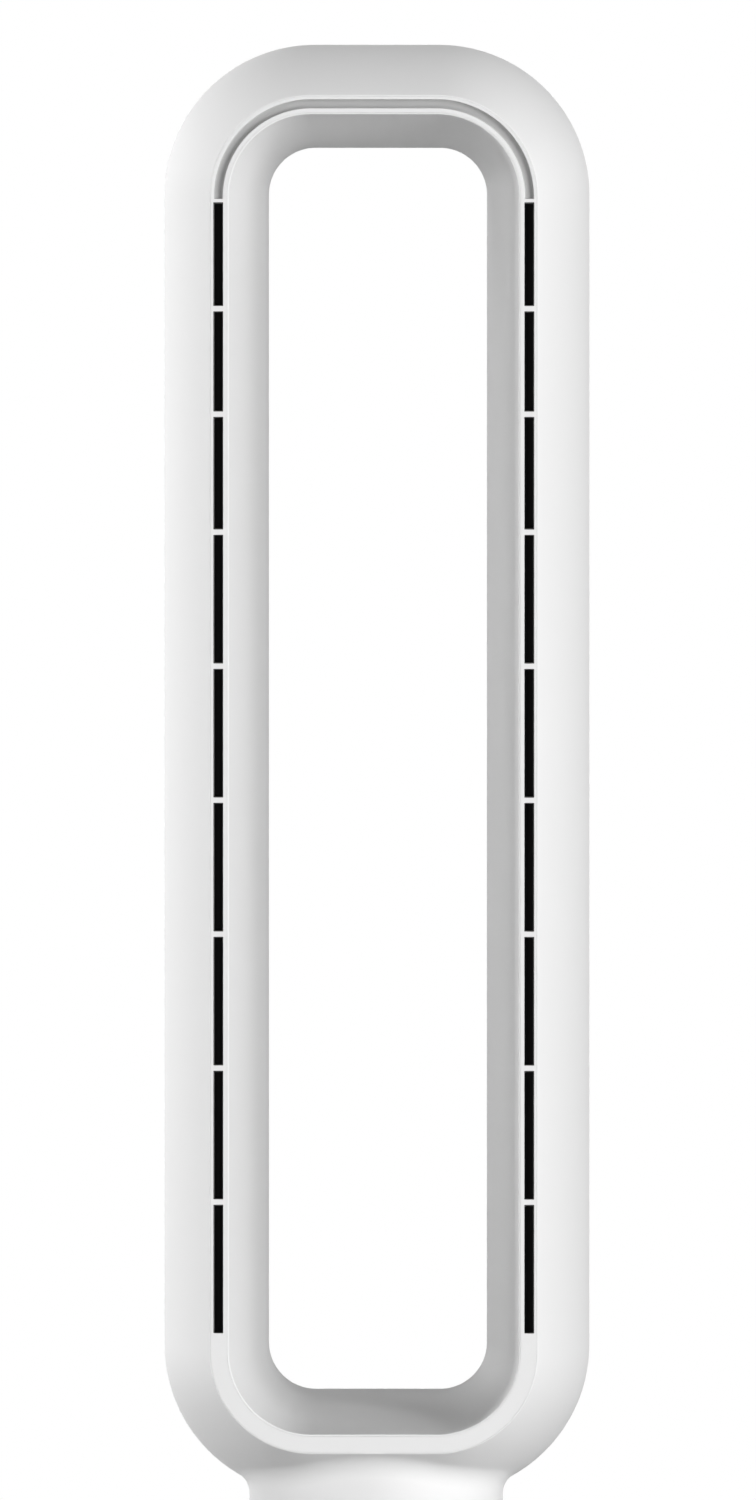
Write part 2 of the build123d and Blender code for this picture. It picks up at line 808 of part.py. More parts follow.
nut_height = 4.0
with BuildPart() as impeller_nut:
    with BuildSketch(Plane.XY.offset(impeller_foot_z - nut_height)):
        RegularPolygon(5.5, 6)
        Circle(shaft_radius + fit_clearance, mode=Mode.SUBTRACT)
    extrude(amount=nut_height)
impeller_nut.part.label = "impeller_nut"
export_step(impeller_nut.part, "parts/impeller_nut.step")

# ---- Motor bucket: carries the motor on vanes that straighten the air ----
bucket_gap = 2.0
bucket_wall = 1.6
bucket_foot_z = impeller_top_z + bucket_gap
bucket_top_z = bucket_foot_z + bucket_height
bucket_bore = impeller_hub_radius - bucket_wall
bearing_radius = 8.0
bearing_width = 5.0
bearing_seat = bearing_radius + fit_clearance
seat_wall = 2.0
shaft_passage = shaft_radius + 1.0
vane_ring_wall = 1.2
vane_ring_radius = shroud_bore - 0.05
vane_foot_z = bucket_foot_z + 3.0
vane_height = bucket_height - 8.0
vane_foot_lean = 35.0

with BuildPart() as straightening_vane:
    add(arched_vane(vane_foot_z, vane_height, blade_thickness, vane_foot_lean, 0, hand=-1))
    add(
        turned_ring(
            impeller_hub_radius - bucket_wall / 2,
            vane_ring_radius - vane_ring_wall / 2,
            vane_foot_z,
            vane_foot_z + vane_height,
        ),
        mode=Mode.INTERSECT,
    )

with BuildPart() as motor_bucket:
    add(turned_ring(bucket_bore, impeller_hub_radius, bucket_foot_z, bucket_top_z))
    add(turned_ring(shaft_passage, impeller_hub_radius, bucket_foot_z, bucket_foot_z + seat_wall))
    add(
        turned_ring(
            bearing_seat,
            bearing_seat + seat_wall,
            bucket_foot_z + seat_wall,
            bucket_foot_z + seat_wall + bearing_width,
        )
    )
    add(
        turned_ring(
            vane_ring_radius - vane_ring_wall, vane_ring_radius, vane_foot_z, vane_foot_z + vane_height
        )
    )
    with PolarLocations(0, vane_count):
        add(straightening_vane.part)
motor_bucket.part.label = "motor_bucket"
export_step(motor_bucket.part, "parts/motor_bucket.step")

# ---- Motor cap: tapered lid that holds the upper bearing ----
cap_height = 12.0
cap_crown_radius = 12.0
cap_spigot = 2.0
cap_seat_foot_z = bucket_top_z - bearing_width - 1.0
cap_seat_top_z = cap_seat_foot_z + bearing_width

with BuildPart() as motor_cap:
    with BuildSketch(Plane.XZ):
        with BuildLine():
            Polyline(
                (shaft_passage, cap_seat_top_z),
                (shaft_passage, bucket_top_z + cap_height),
                (cap_crown_radius, bucket_top_z + cap_height),
                (impeller_hub_radius, bucket_top_z),
                (bucket_bore - fit_gap, bucket_top_z),
                (bucket_bore - fit_gap, bucket_top_z - cap_spigot),
                (bearing_seat + seat_wall, bucket_top_z - cap_spigot),
                (bearing_seat + seat_wall, cap_seat_foot_z),
                (bearing_seat, cap_seat_foot_z),
                (bearing_seat, cap_seat_top_z),
                close=True,
            )
        make_face()
    revolve(axis=Axis.Z)
motor_cap.part.label = "motor_cap"
export_step(motor_cap.part, "parts/motor_cap.step")

# ---- Bearings, shaft, magnet, stator and coils ----
lower_bearing_z = bucket_foot_z + seat_wall
for bearing_name, bearing_z in (("lower_bearing", lower_bearing_z), ("upper_bearing", cap_seat_foot_z)):
    bearing = turned_ring(
        shaft_radius + fit_clearance, bearing_radius, bearing_z, bearing_z + bearing_width
    )
    bearing.label = bearing_name
    export_step(bearing, f"parts/{bearing_name}.step")

motor_shaft = turned_ring(0, shaft_radius, impeller_foot_z - nut_height - 1.0, bucket_top_z + 2.0)
motor_shaft.label = "motor_shaft"
export_step(motor_shaft, "parts/motor_shaft.step")

stack_foot_z = lower_bearing_z + bearing_width + 2.5
stack_top_z = cap_seat_foot_z - 2.5
magnet_radius = 11.0
air_gap = 0.6
tooth_count = 9
tooth_width = 3.6
tip_thickness = 1.6
yoke_width = 5.0
stator_bore = magnet_radius + air_gap
stator_radius = bucket_bore - fit_gap
coil_width = 7.2
coil_overhang = 1.6

rotor_magnet = turned_ring(shaft_radius + fit_clearance, magnet_radius, stack_foot_z, stack_top_z)
rotor_magnet.label = "rotor_magnet"
export_step(rotor_magnet, "parts/rotor_magnet.step")

with BuildSketch() as pole_tips:
    Circle(stator_bore + tip_thickness)
    Circle(stator_bore, mode=Mode.SUBTRACT)
    with PolarLocations(stator_bore, tooth_count, start_angle=180 / tooth_count):
        Rectangle(6 * tip_thickness, 2.0, mode=Mode.SUBTRACT)

tooth_foot = stator_bore + tip_thickness / 2
tooth_end = stator_radius - yoke_width / 2
with BuildPart() as motor_stator:
    with BuildSketch(Plane.XY.offset(stack_foot_z)):
        Circle(stator_radius)
        Circle(stator_radius - yoke_width, mode=Mode.SUBTRACT)
        with PolarLocations((tooth_foot + tooth_end) / 2, tooth_count):
            Rectangle(tooth_end - tooth_foot, tooth_width)
        add(pole_tips.sketch)
    extrude(amount=stack_top_z - stack_foot_z)
motor_stator.part.label = "motor_stator"
export_step(motor_stator.part, "parts/motor_stator.step")

coil_inner = stator_bore + tip_thickness + 0.6
coil_length = stator_radius - yoke_width - 0.4 - coil_inner
with BuildPart() as stator_coils:
    with PolarLocations(coil_inner + coil_length / 2, tooth_count):
        with Locations((0, 0, (stack_foot_z + stack_top_z) / 2)):
            Box(coil_length, coil_width, stack_top_z - stack_foot_z + 2 * coil_overhang)
            Box(
                2 * coil_length,
                tooth_width + fit_gap,
                stack_top_z - stack_foot_z + fit_gap,
                mode=Mode.SUBTRACT,
            )
stator_coils.part.label = "stator_coils"
export_step(stator_coils.part, "parts/stator_coils.step")

# ---- Vibration mounts and neck seal ----
mount_count = 4
mount_radius = 1.9
mount_circle = (shelf_inner + shroud_flange_radius) / 2
with BuildPart() as vibration_mounts:
    with PolarLocations(mount_circle, mount_count):
        with Locations((0, 0, grille_top_z + collar_shelf_thickness)):
            Cylinder(mount_radius, mount_thickness, align=(Align.CENTER, Align.CENTER, Align.MIN))
vibration_mounts.part.label = "vibration_mounts"
export_step(vibration_mounts.part, "parts/vibration_mounts.step")

seal_thickness = 2.4
seal_foot_z = shroud_flange_top_z
seal_lap = 2.0
seal_gap = 0.1
neck_seal = turned_ring(
    shroud_flange_radius - seal_lap,
    bore_radius - seal_gap,
    seal_foot_z,
    seal_foot_z + seal_thickness,
)
neck_seal.label = "neck_seal"
export_step(neck_seal, "parts/neck_seal.step")

# ---------------------------------------------------------------------------
# Swing drive: hub, fixed gear, turntable, pinion and motor
# ---------------------------------------------------------------------------

pan_top_z = foot_height + pan_thickness
hub_bore = 8.0
hub_flange_radius = 23.0
hub_flange_thickness = 4.0
hub_screw_circle = 19.0
hub_screw_count = 4
hub_shoulder = 15.0
hub_play = 0.4
hub_top_z = turntable_top_z + hub_play
hub_pilot_depth = 8.0
washer_screw_count = 3
washer_screw_start = 30.0
washer_screw_circle = (hub_bore + hub_radius) / 2
retaining_washer_thickness = 2.0

with BuildPart() as pivot_hub:
    add(turned_ring(hub_bore, hub_flange_radius, pan_top_z, pan_top_z + hub_flange_thickness))
    add(turned_ring(hub_bore, hub_shoulder, pan_top_z, gear_z))
    add(turned_ring(hub_bore, hub_radius, pan_top_z, hub_top_z))
    with BuildSketch(Plane.XY.offset(pan_top_z)):
        with PolarLocations(hub_screw_circle, hub_screw_count, start_angle=45):
            Circle(pilot_radius)
    extrude(amount=hub_flange_thickness, mode=Mode.SUBTRACT)
    with BuildSketch(Plane.XY.offset(hub_top_z)):
        with PolarLocations(washer_screw_circle, washer_screw_count, start_angle=washer_screw_start):
            Circle(pilot_radius)
    extrude(amount=-hub_pilot_depth, mode=Mode.SUBTRACT)
pivot_hub.part.label = "pivot_hub"
export_step(pivot_hub.part, "parts/pivot_hub.step")


tooth_root_half = 0.95 * gear_module
tooth_pitch_half = 0.70 * gear_module
tooth_tip_half = 0.36 * gear_module
tooth_addendum = 0.95 * gear_module
tooth_dedendum = 1.25 * gear_module
tooth_sink = 0.3


def gear_outline(teeth, first_angle):
    """Spur gear outline: straight-flanked teeth on a root circle."""
    pitch_radius = gear_module * teeth / 2
    tooth_foot = -tooth_dedendum - tooth_sink
    with BuildSketch() as tooth:
        with BuildLine():
            Polyline(
                (tooth_foot, -tooth_root_half),
                (0, -tooth_pitch_half),
                (tooth_addendum, -tooth_tip_half),
                (tooth_addendum, tooth_tip_half),
                (0, tooth_pitch_half),
                (tooth_foot, tooth_root_half),
                close=True,
            )
        make_face()
    with BuildSketch() as outline:
        Circle(pitch_radius - tooth_dedendum)
        with PolarLocations(pitch_radius, teeth, start_angle=first_angle):
            add(tooth.sketch)
    return outline.sketch


with BuildPart() as fixed_gear:
    with BuildSketch(Plane.XY.offset(gear_z)):
        add(gear_outline(fixed_gear_teeth, 90))
        Circle(hub_radius + fit_clearance, mode=Mode.SUBTRACT)
    extrude(amount=gear_width)
fixed_gear.part.label = "fixed_gear"
export_step(fixed_gear.part, "parts/fixed_gear.step")

pinion_y = gear_centre_distance
pinion_shaft_radius = 2.5
pinion_inset = 0.4
shaft_entry = 6.0
with BuildPart() as swing_pinion:
    with BuildSketch(Plane.XY.offset(gear_z + pinion_inset)):
        with Locations((0, pinion_y)):
            add(gear_outline(pinion_teeth, -90 + 180 / pinion_teeth))
            Circle(pinion_shaft_radius + fit_clearance, mode=Mode.SUBTRACT)
    extrude(amount=gear_width - 2 * pinion_inset)
swing_pinion.part.label = "swing_pinion"
export_step(swing_pinion.part, "parts/swing_pinion.step")

swing_shaft_foot_z = gear_z + pinion_inset
swing_shaft_length = turntable_top_z + shaft_entry - swing_shaft_foot_z
with BuildPart() as swing_shaft:
    with Locations((0, pinion_y, swing_shaft_foot_z)):
        Cylinder(
            pinion_shaft_radius, swing_shaft_length, align=(Align.CENTER, Align.CENTER, Align.MIN)
        )
swing_shaft.part.label = "swing_shaft"
export_step(swing_shaft.part, "parts/swing_shaft.step")

thrust_washer_radius = hub_radius + 8.0
thrust_washer = turned_ring(
    hub_radius + running_gap, thrust_washer_radius, gear_z + gear_width, turntable_z
)
thrust_washer.label = "thrust_washer"
export_step(thrust_washer, "parts/thrust_washer.step")

swing_motor_height = 17.0
swing_ear = 17.5
swing_ear_thickness = 1.2
swing_ear_width = 7.0
with BuildPart() as turntable:
    with BuildSketch(Plane.XY.offset(turntable_z)):
        Circle(turntable_radius)
        Circle(hub_radius + running_gap, mode=Mode.SUBTRACT)
        with PolarLocations(turntable_screw_circle, 4, start_angle=45):
            Circle(pilot_radius, mode=Mode.SUBTRACT)
        with Locations((0, pinion_y)):
            Circle(pinion_shaft_radius + 1.0, mode=Mode.SUBTRACT)
        with Locations((-swing_ear, pinion_y), (swing_ear, pinion_y)):
            Circle(pilot_radius, mode=Mode.SUBTRACT)
    extrude(amount=turntable_thickness)
turntable.part.label = "turntable"
export_step(turntable.part, "parts/turntable.step")

with BuildPart() as swing_motor:
    with BuildSketch(Plane.XY.offset(turntable_top_z)):
        with Locations((0, pinion_y)):
            Circle(swing_motor_radius)
    extrude(amount=swing_motor_height)
    with BuildSketch(Plane.XY.offset(turntable_top_z)):
        with Locations((0, pinion_y)):
            SlotCenterToCenter(2 * swing_ear, swing_ear_width)
    extrude(amount=swing_ear_thickness)
    with BuildSketch(Plane.XY.offset(turntable_top_z)):
        with Locations((-swing_ear, pinion_y), (swing_ear, pinion_y)):
            Circle(pilot_radius)
    extrude(amount=swing_ear_thickness, mode=Mode.SUBTRACT)
    with BuildSketch(Plane.XY.offset(turntable_top_z)):
        with Locations((0, pinion_y)):
            Circle(pinion_shaft_radius + running_gap)
    extrude(amount=shaft_entry + pinion_inset, mode=Mode.SUBTRACT)
swing_motor.part.label = "swing_motor"
export_step(swing_motor.part, "parts/swing_motor.step")

with BuildPart() as swing_motor_screws:
    with BuildSketch(Plane.XY.offset(turntable_top_z + swing_ear_thickness)):
        with Locations((-swing_ear, pinion_y), (swing_ear, pinion_y)):
            RegularPolygon(screw_head, 6)
    extrude(amount=screw_head_height)
    with BuildSketch(Plane.XY.offset(turntable_top_z + swing_ear_thickness)):
        with Locations((-swing_ear, pinion_y), (swing_ear, pinion_y)):
            RegularPolygon(screw_shank, 6)
    extrude(amount=-swing_ear_thickness - turntable_thickness + 0.4)
swing_motor_screws.part.label = "swing_motor_screws"
export_step(swing_motor_screws.part, "parts/swing_motor_screws.step")

turntable_screws = screw_set(
    turntable_screw_circle, 4, 45, turntable_z, screw_shank, turntable_thickness + screw_bite,
    screw_head, screw_head_height,
)
turntable_screws.label = "turntable_screws"
export_step(turntable_screws, "parts/turntable_screws.step")

washer_overlap = 6.0
retaining_washer_radius = hub_radius + washer_overlap
with BuildPart() as retaining_washer:
    with BuildSketch(Plane.XY.offset(hub_top_z)):
        Circle(retaining_washer_radius)
        Circle(hub_bore, mode=Mode.SUBTRACT)
        with PolarLocations(washer_screw_circle, washer_screw_count, start_angle=washer_screw_start):
            Circle(pilot_radius, mode=Mode.SUBTRACT)
    extrude(amount=retaining_washer_thickness)
retaining_washer.part.label = "retaining_washer"
export_step(retaining_washer.part, "parts/retaining_washer.step")

small_screw_head = 1.9
retaining_screws = screw_set(
    washer_screw_circle, washer_screw_count, washer_screw_start,
    hub_top_z + retaining_washer_thickness, screw_shank, hub_pilot_depth,
    small_screw_head, screw_head_height, up=False,
)
retaining_screws.label = "retaining_screws"
export_step(retaining_screws, "parts/retaining_screws.step")

# ---------------------------------------------------------------------------
# Weighted base
# ---------------------------------------------------------------------------

rim_chamfer = 5.0
cover_land = neck_radius + 6.0
cover_hole = hub_shoulder + 1.5
cover_foot_z = foot_height + 1.0
pan_radius = base_radius - cover_wall - fit_gap
base_screw_count = 4
base_screw_circle = base_radius - 12.0
cover_boss_radius = 4.0
cover_boss_top_z = base_rim_z - 1.0
foot_count = 6
base_foot_circle = base_radius - 18.0
jack_width = 11.0
jack_depth = 14.0
jack_height = 8.0
jack_mouth_radius = 4.0
jack_bore_radius = 2.8
jack_pin_radius = 0.9
jack_bore_depth = 9.5
jack_centre_z = pan_top_z + jack_height / 2
jack_front_y = base_radius - cover_wall - 0.6


def cover_outline(inset):
    """Half section of the base's low cone in the radius and height plane."""
    with BuildSketch(Plane.XZ) as outline:
        with BuildLine():
            Polyline(
                (0, 0),
                (base_radius - inset, 0),
                (base_radius - inset, base_rim_z - inset),
                (cover_land, base_top_z - inset),
                (0, base_top_z - inset),
                close=True,
            )
        make_face()
    return outline.sketch


with BuildPart() as dome_space:
    with BuildSketch(Plane.XZ) as dome_hollow:
        add(cover_outline(cover_wall))
        hollow_corner = dome_hollow.vertices().sort_by(Axis.X)[-2:].sort_by(Axis.Z)[-1]
        chamfer(hollow_corner, length=rim_chamfer - cover_wall)
    revolve(axis=Axis.Z)

with BuildPart() as base_cover:
    with BuildSketch(Plane.XZ) as dome:
        add(cover_outline(0))
        dome_corner = dome.vertices().sort_by(Axis.X)[-2:].sort_by(Axis.Z)[-1]
        chamfer(dome_corner, length=rim_chamfer)
    revolve(axis=Axis.Z)
    add(dome_space.part, mode=Mode.SUBTRACT)
    with BuildSketch(Plane.XY):
        Circle(base_radius)
    extrude(amount=cover_foot_z, mode=Mode.SUBTRACT)
    with BuildSketch(Plane.XY.offset(pan_top_z)):
        with PolarLocations(base_screw_circle, base_screw_count, start_angle=45):
            Circle(cover_boss_radius)
    extrude(amount=cover_boss_top_z - pan_top_z)
    with BuildSketch(Plane.XY.offset(pan_top_z)):
        with PolarLocations(base_screw_circle, base_screw_count, start_angle=45):
            Circle(pilot_radius)
    extrude(amount=screw_bite, mode=Mode.SUBTRACT)
    with BuildSketch(Plane.XY):
        Circle(cover_hole)
    extrude(amount=2 * base_top_z, mode=Mode.SUBTRACT)
    with BuildSketch(Plane(origin=(0, jack_front_y - 1.0, jack_centre_z), x_dir=(1, 0, 0), z_dir=(0, 1, 0))):
        Circle(jack_mouth_radius + fit_gap)
    extrude(amount=2 * cover_wall, mode=Mode.SUBTRACT)
base_cover.part.label = "base_cover"
export_step(base_cover.part, "parts/base_cover.step")

with BuildPart() as base_pan:
    with BuildSketch(Plane.XY.offset(foot_height)):
        Circle(pan_radius)
        with PolarLocations(base_screw_circle, base_screw_count, start_angle=45):
            Circle(pilot_radius, mode=Mode.SUBTRACT)
        with PolarLocations(hub_screw_circle, hub_screw_count, start_angle=45):
            Circle(pilot_radius, mode=Mode.SUBTRACT)
    extrude(amount=pan_thickness)
base_pan.part.label = "base_pan"
export_step(base_pan.part, "parts/base_pan.step")

base_screws = screw_set(
    base_screw_circle, base_screw_count, 45, foot_height, screw_shank, pan_thickness + screw_bite - 0.5,
    screw_head, foot_height - screw_clearance,
)
base_screws.label = "base_screws"
export_step(base_screws, "parts/base_screws.step")

hub_screws = screw_set(
    hub_screw_circle, hub_screw_count, 45, pan_top_z + hub_flange_thickness, screw_shank,
    hub_flange_thickness + pan_thickness, screw_head, screw_head_height, up=False,
)
hub_screws.label = "hub_screws"
export_step(hub_screws, "parts/hub_screws.step")

counterweight_outer = base_screw_circle - 8.0
counterweight_inner = 50.0
counterweight_height = 7.0
counterweight = turned_ring(
    counterweight_inner, counterweight_outer, pan_top_z, pan_top_z + counterweight_height
)
counterweight.label = "counterweight"
export_step(counterweight, "parts/counterweight.step")

with BuildPart() as rubber_feet:
    with PolarLocations(base_foot_circle, foot_count):
        Cylinder(foot_radius, foot_height, align=(Align.CENTER, Align.CENTER, Align.MIN))
rubber_feet.part.label = "rubber_feet"
export_step(rubber_feet.part, "parts/rubber_feet.step")

with BuildPart() as power_jack:
    with Locations((0, jack_front_y - jack_depth / 2, jack_centre_z)):
        Box(jack_width, jack_depth, jack_height)
    with BuildSketch(Plane(origin=(0, jack_front_y, jack_centre_z), x_dir=(1, 0, 0), z_dir=(0, 1, 0))):
        Circle(jack_mouth_radius)
    extrude(amount=cover_wall)
    mouth_y = jack_front_y + cover_wall
    with BuildSketch(Plane(origin=(0, mouth_y, jack_centre_z), x_dir=(1, 0, 0), z_dir=(0, 1, 0))):
        Circle(jack_bore_radius)
        Circle(jack_pin_radius, mode=Mode.SUBTRACT)
    extrude(amount=-jack_bore_depth, mode=Mode.SUBTRACT)
power_jack.part.label = "power_jack"
export_step(power_jack.part, "parts/power_jack.step")
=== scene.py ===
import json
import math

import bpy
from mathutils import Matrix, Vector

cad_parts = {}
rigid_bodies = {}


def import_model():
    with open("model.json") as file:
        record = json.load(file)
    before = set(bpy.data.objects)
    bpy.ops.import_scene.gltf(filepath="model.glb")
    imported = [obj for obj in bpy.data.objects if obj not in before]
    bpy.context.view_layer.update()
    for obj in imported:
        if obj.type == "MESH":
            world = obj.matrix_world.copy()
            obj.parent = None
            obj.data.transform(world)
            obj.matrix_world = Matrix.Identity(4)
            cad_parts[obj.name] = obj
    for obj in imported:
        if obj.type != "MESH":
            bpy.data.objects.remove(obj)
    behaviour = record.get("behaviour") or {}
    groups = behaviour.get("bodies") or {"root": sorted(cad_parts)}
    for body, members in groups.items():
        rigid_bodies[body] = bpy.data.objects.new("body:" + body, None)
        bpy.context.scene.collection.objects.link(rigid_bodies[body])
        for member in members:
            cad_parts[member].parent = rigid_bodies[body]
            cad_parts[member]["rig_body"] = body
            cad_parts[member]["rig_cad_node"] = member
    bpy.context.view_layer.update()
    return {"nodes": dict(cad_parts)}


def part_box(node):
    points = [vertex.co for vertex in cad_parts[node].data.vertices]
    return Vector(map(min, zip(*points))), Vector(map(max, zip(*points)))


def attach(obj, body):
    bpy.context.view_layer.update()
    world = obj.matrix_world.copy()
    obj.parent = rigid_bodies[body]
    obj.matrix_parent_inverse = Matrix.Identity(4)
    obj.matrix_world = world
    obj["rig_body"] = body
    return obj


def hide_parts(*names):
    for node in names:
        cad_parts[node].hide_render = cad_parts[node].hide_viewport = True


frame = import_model()

# %% [markdown]
# # A bladeless tower fan
# The fan is a tall, thin loop of white moulded plastic on a round body. Air comes out of the narrow black
# slots in the band round the loop's front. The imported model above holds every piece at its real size, so this
# lesson only gives the pieces their looks. All sizes are in metres, +Z is up and the front faces -Y.

MM = 0.001
nodes = frame["nodes"]

# %% [markdown]
# ## Sizes read from the frame
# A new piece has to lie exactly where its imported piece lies. So the main sizes are read from the boxes of the
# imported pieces, and only the sizes that no box can tell, such as a radius, are written out here.

# %% Sizes of the loop
front_low, front_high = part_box("front_shell")
bezel_low, bezel_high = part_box("outlet_bezel")

corner_radius = 70.7 * MM
corner_x = front_high.x - corner_radius
corner_z = front_high.z - corner_radius
loop_centre_z = (bezel_low.z + bezel_high.z) / 2
corner_drop = corner_z - loop_centre_z
corner_foot = loop_centre_z - corner_drop
front_y = front_low.y
parting_y = front_high.y
back_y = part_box("rear_shell")[1].y

seam_gap = 0.2 * MM
shut_gap = 0.05 * MM
shell_lip = 0.5 * MM
liner_lip = 0.8 * MM
shell_wall = 2.4 * MM
liner_wall = 2.0 * MM
bezel_plate = bezel_high.y - bezel_low.y
band_width = 9.0 * MM
wall_taper = 17.7 * MM
back_lip_width = 11.0 * MM
rim_outer = bezel_high.x - corner_x + shell_lip + seam_gap
rim_inner = rim_outer - band_width
bezel_outer = rim_outer - shell_lip - shut_gap
bezel_inner = rim_inner + liner_lip + shut_gap
back_inner = rim_inner - wall_taper
back_seam = back_inner + back_lip_width
back_lip_radius = 8.0 * MM
heel_radius = back_y - parting_y
nose_depth = parting_y - front_y
nose_inset = corner_radius - rim_outer
nose_radius = (nose_inset**2 + nose_depth**2) / (2 * nose_inset)
nose_angle = math.asin(nose_depth / nose_radius)
print("loop corner at", round(corner_x, 4), round(corner_z, 4), "nose radius", round(nose_radius, 4))

# %% Sizes of the slots
slot_width = 4.6 * MM
slot_rib = 2.5 * MM
slot_count = 9
top_slot_lengths = [48.5 * MM, 46.9 * MM, 52.7 * MM]
outer_rim = 1.8 * MM
slot_outer = rim_outer - outer_rim
slot_inner = slot_outer - slot_width
slots_drop = 2.6 * MM
slots_rise = 8.9 * MM
slots_top = corner_z - slots_drop
slots_foot = corner_foot + slots_rise
groove_depth = 2.8 * MM
groove_rib = 1.6 * MM
long_count = slot_count - len(top_slot_lengths)
slots_open = slots_top - slots_foot - (slot_count - 1) * slot_rib
long_slot_length = (slots_open - sum(top_slot_lengths)) / long_count
slot_lengths = top_slot_lengths + [long_slot_length] * long_count
slot_ranges = []
slot_top = slots_top
for slot_length in slot_lengths:
    slot_ranges.append((slot_top - slot_length, slot_top))
    slot_top -= slot_length + slot_rib
print("slots from", round(slots_foot, 4), "to", round(slots_top, 4))

# %% Sizes of the neck and the round body
neck_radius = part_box("upper_collar")[1].x
neck_foot = front_low.z
neck_blend = 12.0 * MM
print("neck radius", round(neck_radius, 4), "foot", round(neck_foot, 4))

# %% [markdown]
# ## The camera
# The photograph is taken with a long lens from almost straight ahead: the loop's walls look parallel, a
# little more shows of its left inner wall than of the right one, and more of the bottom one than of the top
# So the camera stands slightly to the right and slightly above, far away, and aims at the band's front face.
# The lens is as long as the views from other sides allow: they step back until the whole fan fits, and with
# a longer lens the fan would lie past the distance that they draw.

# %% Camera
frame_height = 702.0 * MM
lens_length = 850.0
sensor_length = 36.0
camera_turn = math.radians(0.92)
camera_rise = math.radians(1.35)
camera_distance = frame_height * lens_length / sensor_length
aim_right = 2.0 * MM
aim_height = 620.4 * MM
aim = Vector((aim_right, front_y, aim_height))
offset = Vector((math.sin(camera_turn) * math.cos(camera_rise),
                 -math.cos(camera_turn) * math.cos(camera_rise),
                 math.sin(camera_rise))) * camera_distance
bpy.ops.object.select_all(action="DESELECT")
bpy.ops.object.camera_add(location=aim + offset)
camera = bpy.context.object
camera.name = "camera"
camera.rotation_euler = (-offset).to_track_quat("-Z", "Y").to_euler()
camera.data.lens = lens_length
camera.data.sensor_width = sensor_length
camera.data.clip_start = 0.1
camera.data.clip_end = 100.0
bpy.context.scene.camera = camera
print("camera", round(camera_distance, 2), "m away")

# %% [markdown]
# ## Finishes
# Every finish starts from a node group, so that the same grain, spread and wear are set once and tuned for
# each material. A group only puts out what changes over the surface. What is the same all over, such as how
# strongly plastic reflects, is set on the shader's own sockets.

# %% Helpers: a node group and its nodes
def new_group(name, numbers, outputs):
    """A node group that takes a colour and some named numbers, and puts out a colour and some values."""
    group = bpy.data.node_groups.new(name, "ShaderNodeTree")
    group.interface.new_socket("Colour", in_out="INPUT", socket_type="NodeSocketColor")
    for label, number in numbers.items():
        socket = group.interface.new_socket(label, in_out="INPUT", socket_type="NodeSocketFloat")
        socket.default_value = number
    group.interface.new_socket("Colour", in_out="OUTPUT", socket_type="NodeSocketColor")
    for label in outputs:
        group.interface.new_socket(label, in_out="OUTPUT", socket_type="NodeSocketFloat")
    return group, group.nodes.new("NodeGroupInput")


def put_out(group, **results):
    """Links the results of a group to its outputs."""
    end = group.nodes.new("NodeGroupOutput")
    for label, result in results.items():
        group.links.new(result, end.inputs[label])
    print("group made:", group.name)
    return group


def own_place(tree):
    """Places on the piece itself, so that a pattern stays on it wherever it goes."""
    return tree.nodes.new("ShaderNodeTexCoord").outputs["Object"]


def feed(tree, socket, value):
    """Sets a socket to a plain number, or links another node's output to it."""
    if isinstance(value, (int, float)):
        socket.default_value = value
    else:
        tree.links.new(value, socket)


def math_node(tree, operation, first, second):
    """A Math node fed by outputs or plain numbers."""
    node = tree.nodes.new("ShaderNodeMath")
    node.operation = operation
    feed(tree, node.inputs[0], first)
    feed(tree, node.inputs[1], second)
    return node.outputs[0]


def axes(tree, vector):
    """The X, Y and Z outputs of a vector."""
    node = tree.nodes.new("ShaderNodeSeparateXYZ")
    tree.links.new(vector, node.inputs[0])
    return node.outputs


def noise(tree, position, scale, detail=2.0):
    """A Noise texture on the piece's own coordinates."""
    node = tree.nodes.new("ShaderNodeTexNoise")
    node.inputs["Detail"].default_value = detail
    tree.links.new(position, node.inputs["Vector"])
    feed(tree, node.inputs["Scale"], scale)
    return node.outputs["Fac"]


def ramp(tree, value, low, high, at_low=0.0, at_high=1.0, soft=True):
    """A Map Range node: at_low at the low level of a value, at_high at the high one, and between them."""
    node = tree.nodes.new("ShaderNodeMapRange")
    node.interpolation_type = "SMOOTHSTEP" if soft else "LINEAR"
    levels = {"Value": value, "From Min": low, "From Max": high, "To Min": at_low, "To Max": at_high}
    for label, level in levels.items():
        feed(tree, node.inputs[label], level)
    return node.outputs["Result"]


def shaded(tree, colour, mask, at_low, at_high):
    """A colour whose brightness follows a mask between two levels."""
    node = tree.nodes.new("ShaderNodeVectorMath")
    node.operation = "SCALE"
    tree.links.new(colour, node.inputs[0])
    tree.links.new(ramp(tree, mask, 0.0, 1.0, at_low, at_high, soft=False), node.inputs["Scale"])
    return node.outputs["Vector"]


# %% [markdown]
# ### Moulded plastic
# A moulded skin is never quite even: the tool leaves a very fine satin grain, the plastic flows in slightly
# lighter and darker clouds, and hands polish it in places. Two noises, a fine and a broad one, are enough.

# %% Group: moulded skin
def moulded_skin():
    group, start = new_group("moulded_skin", {"Grain": 900.0, "Roughness": 0.4, "Polish": 0.06},
                             ["Roughness", "Height"])
    cloud_scale, cloud_detail, cloud_dark, cloud_light = 9.0, 3.0, 0.985, 1.012
    position = own_place(group)
    fine = noise(group, position, start.outputs["Grain"])
    broad = noise(group, position, cloud_scale, cloud_detail)
    colour = shaded(group, start.outputs["Colour"], broad, cloud_dark, cloud_light)
    centred = math_node(group, "SUBTRACT", broad, 0.5)
    spread = math_node(group, "MULTIPLY", centred, start.outputs["Polish"])
    rough = math_node(group, "ADD", start.outputs["Roughness"], spread)
    return put_out(group, Colour=colour, Roughness=rough, Height=fine)


skin_group = moulded_skin()
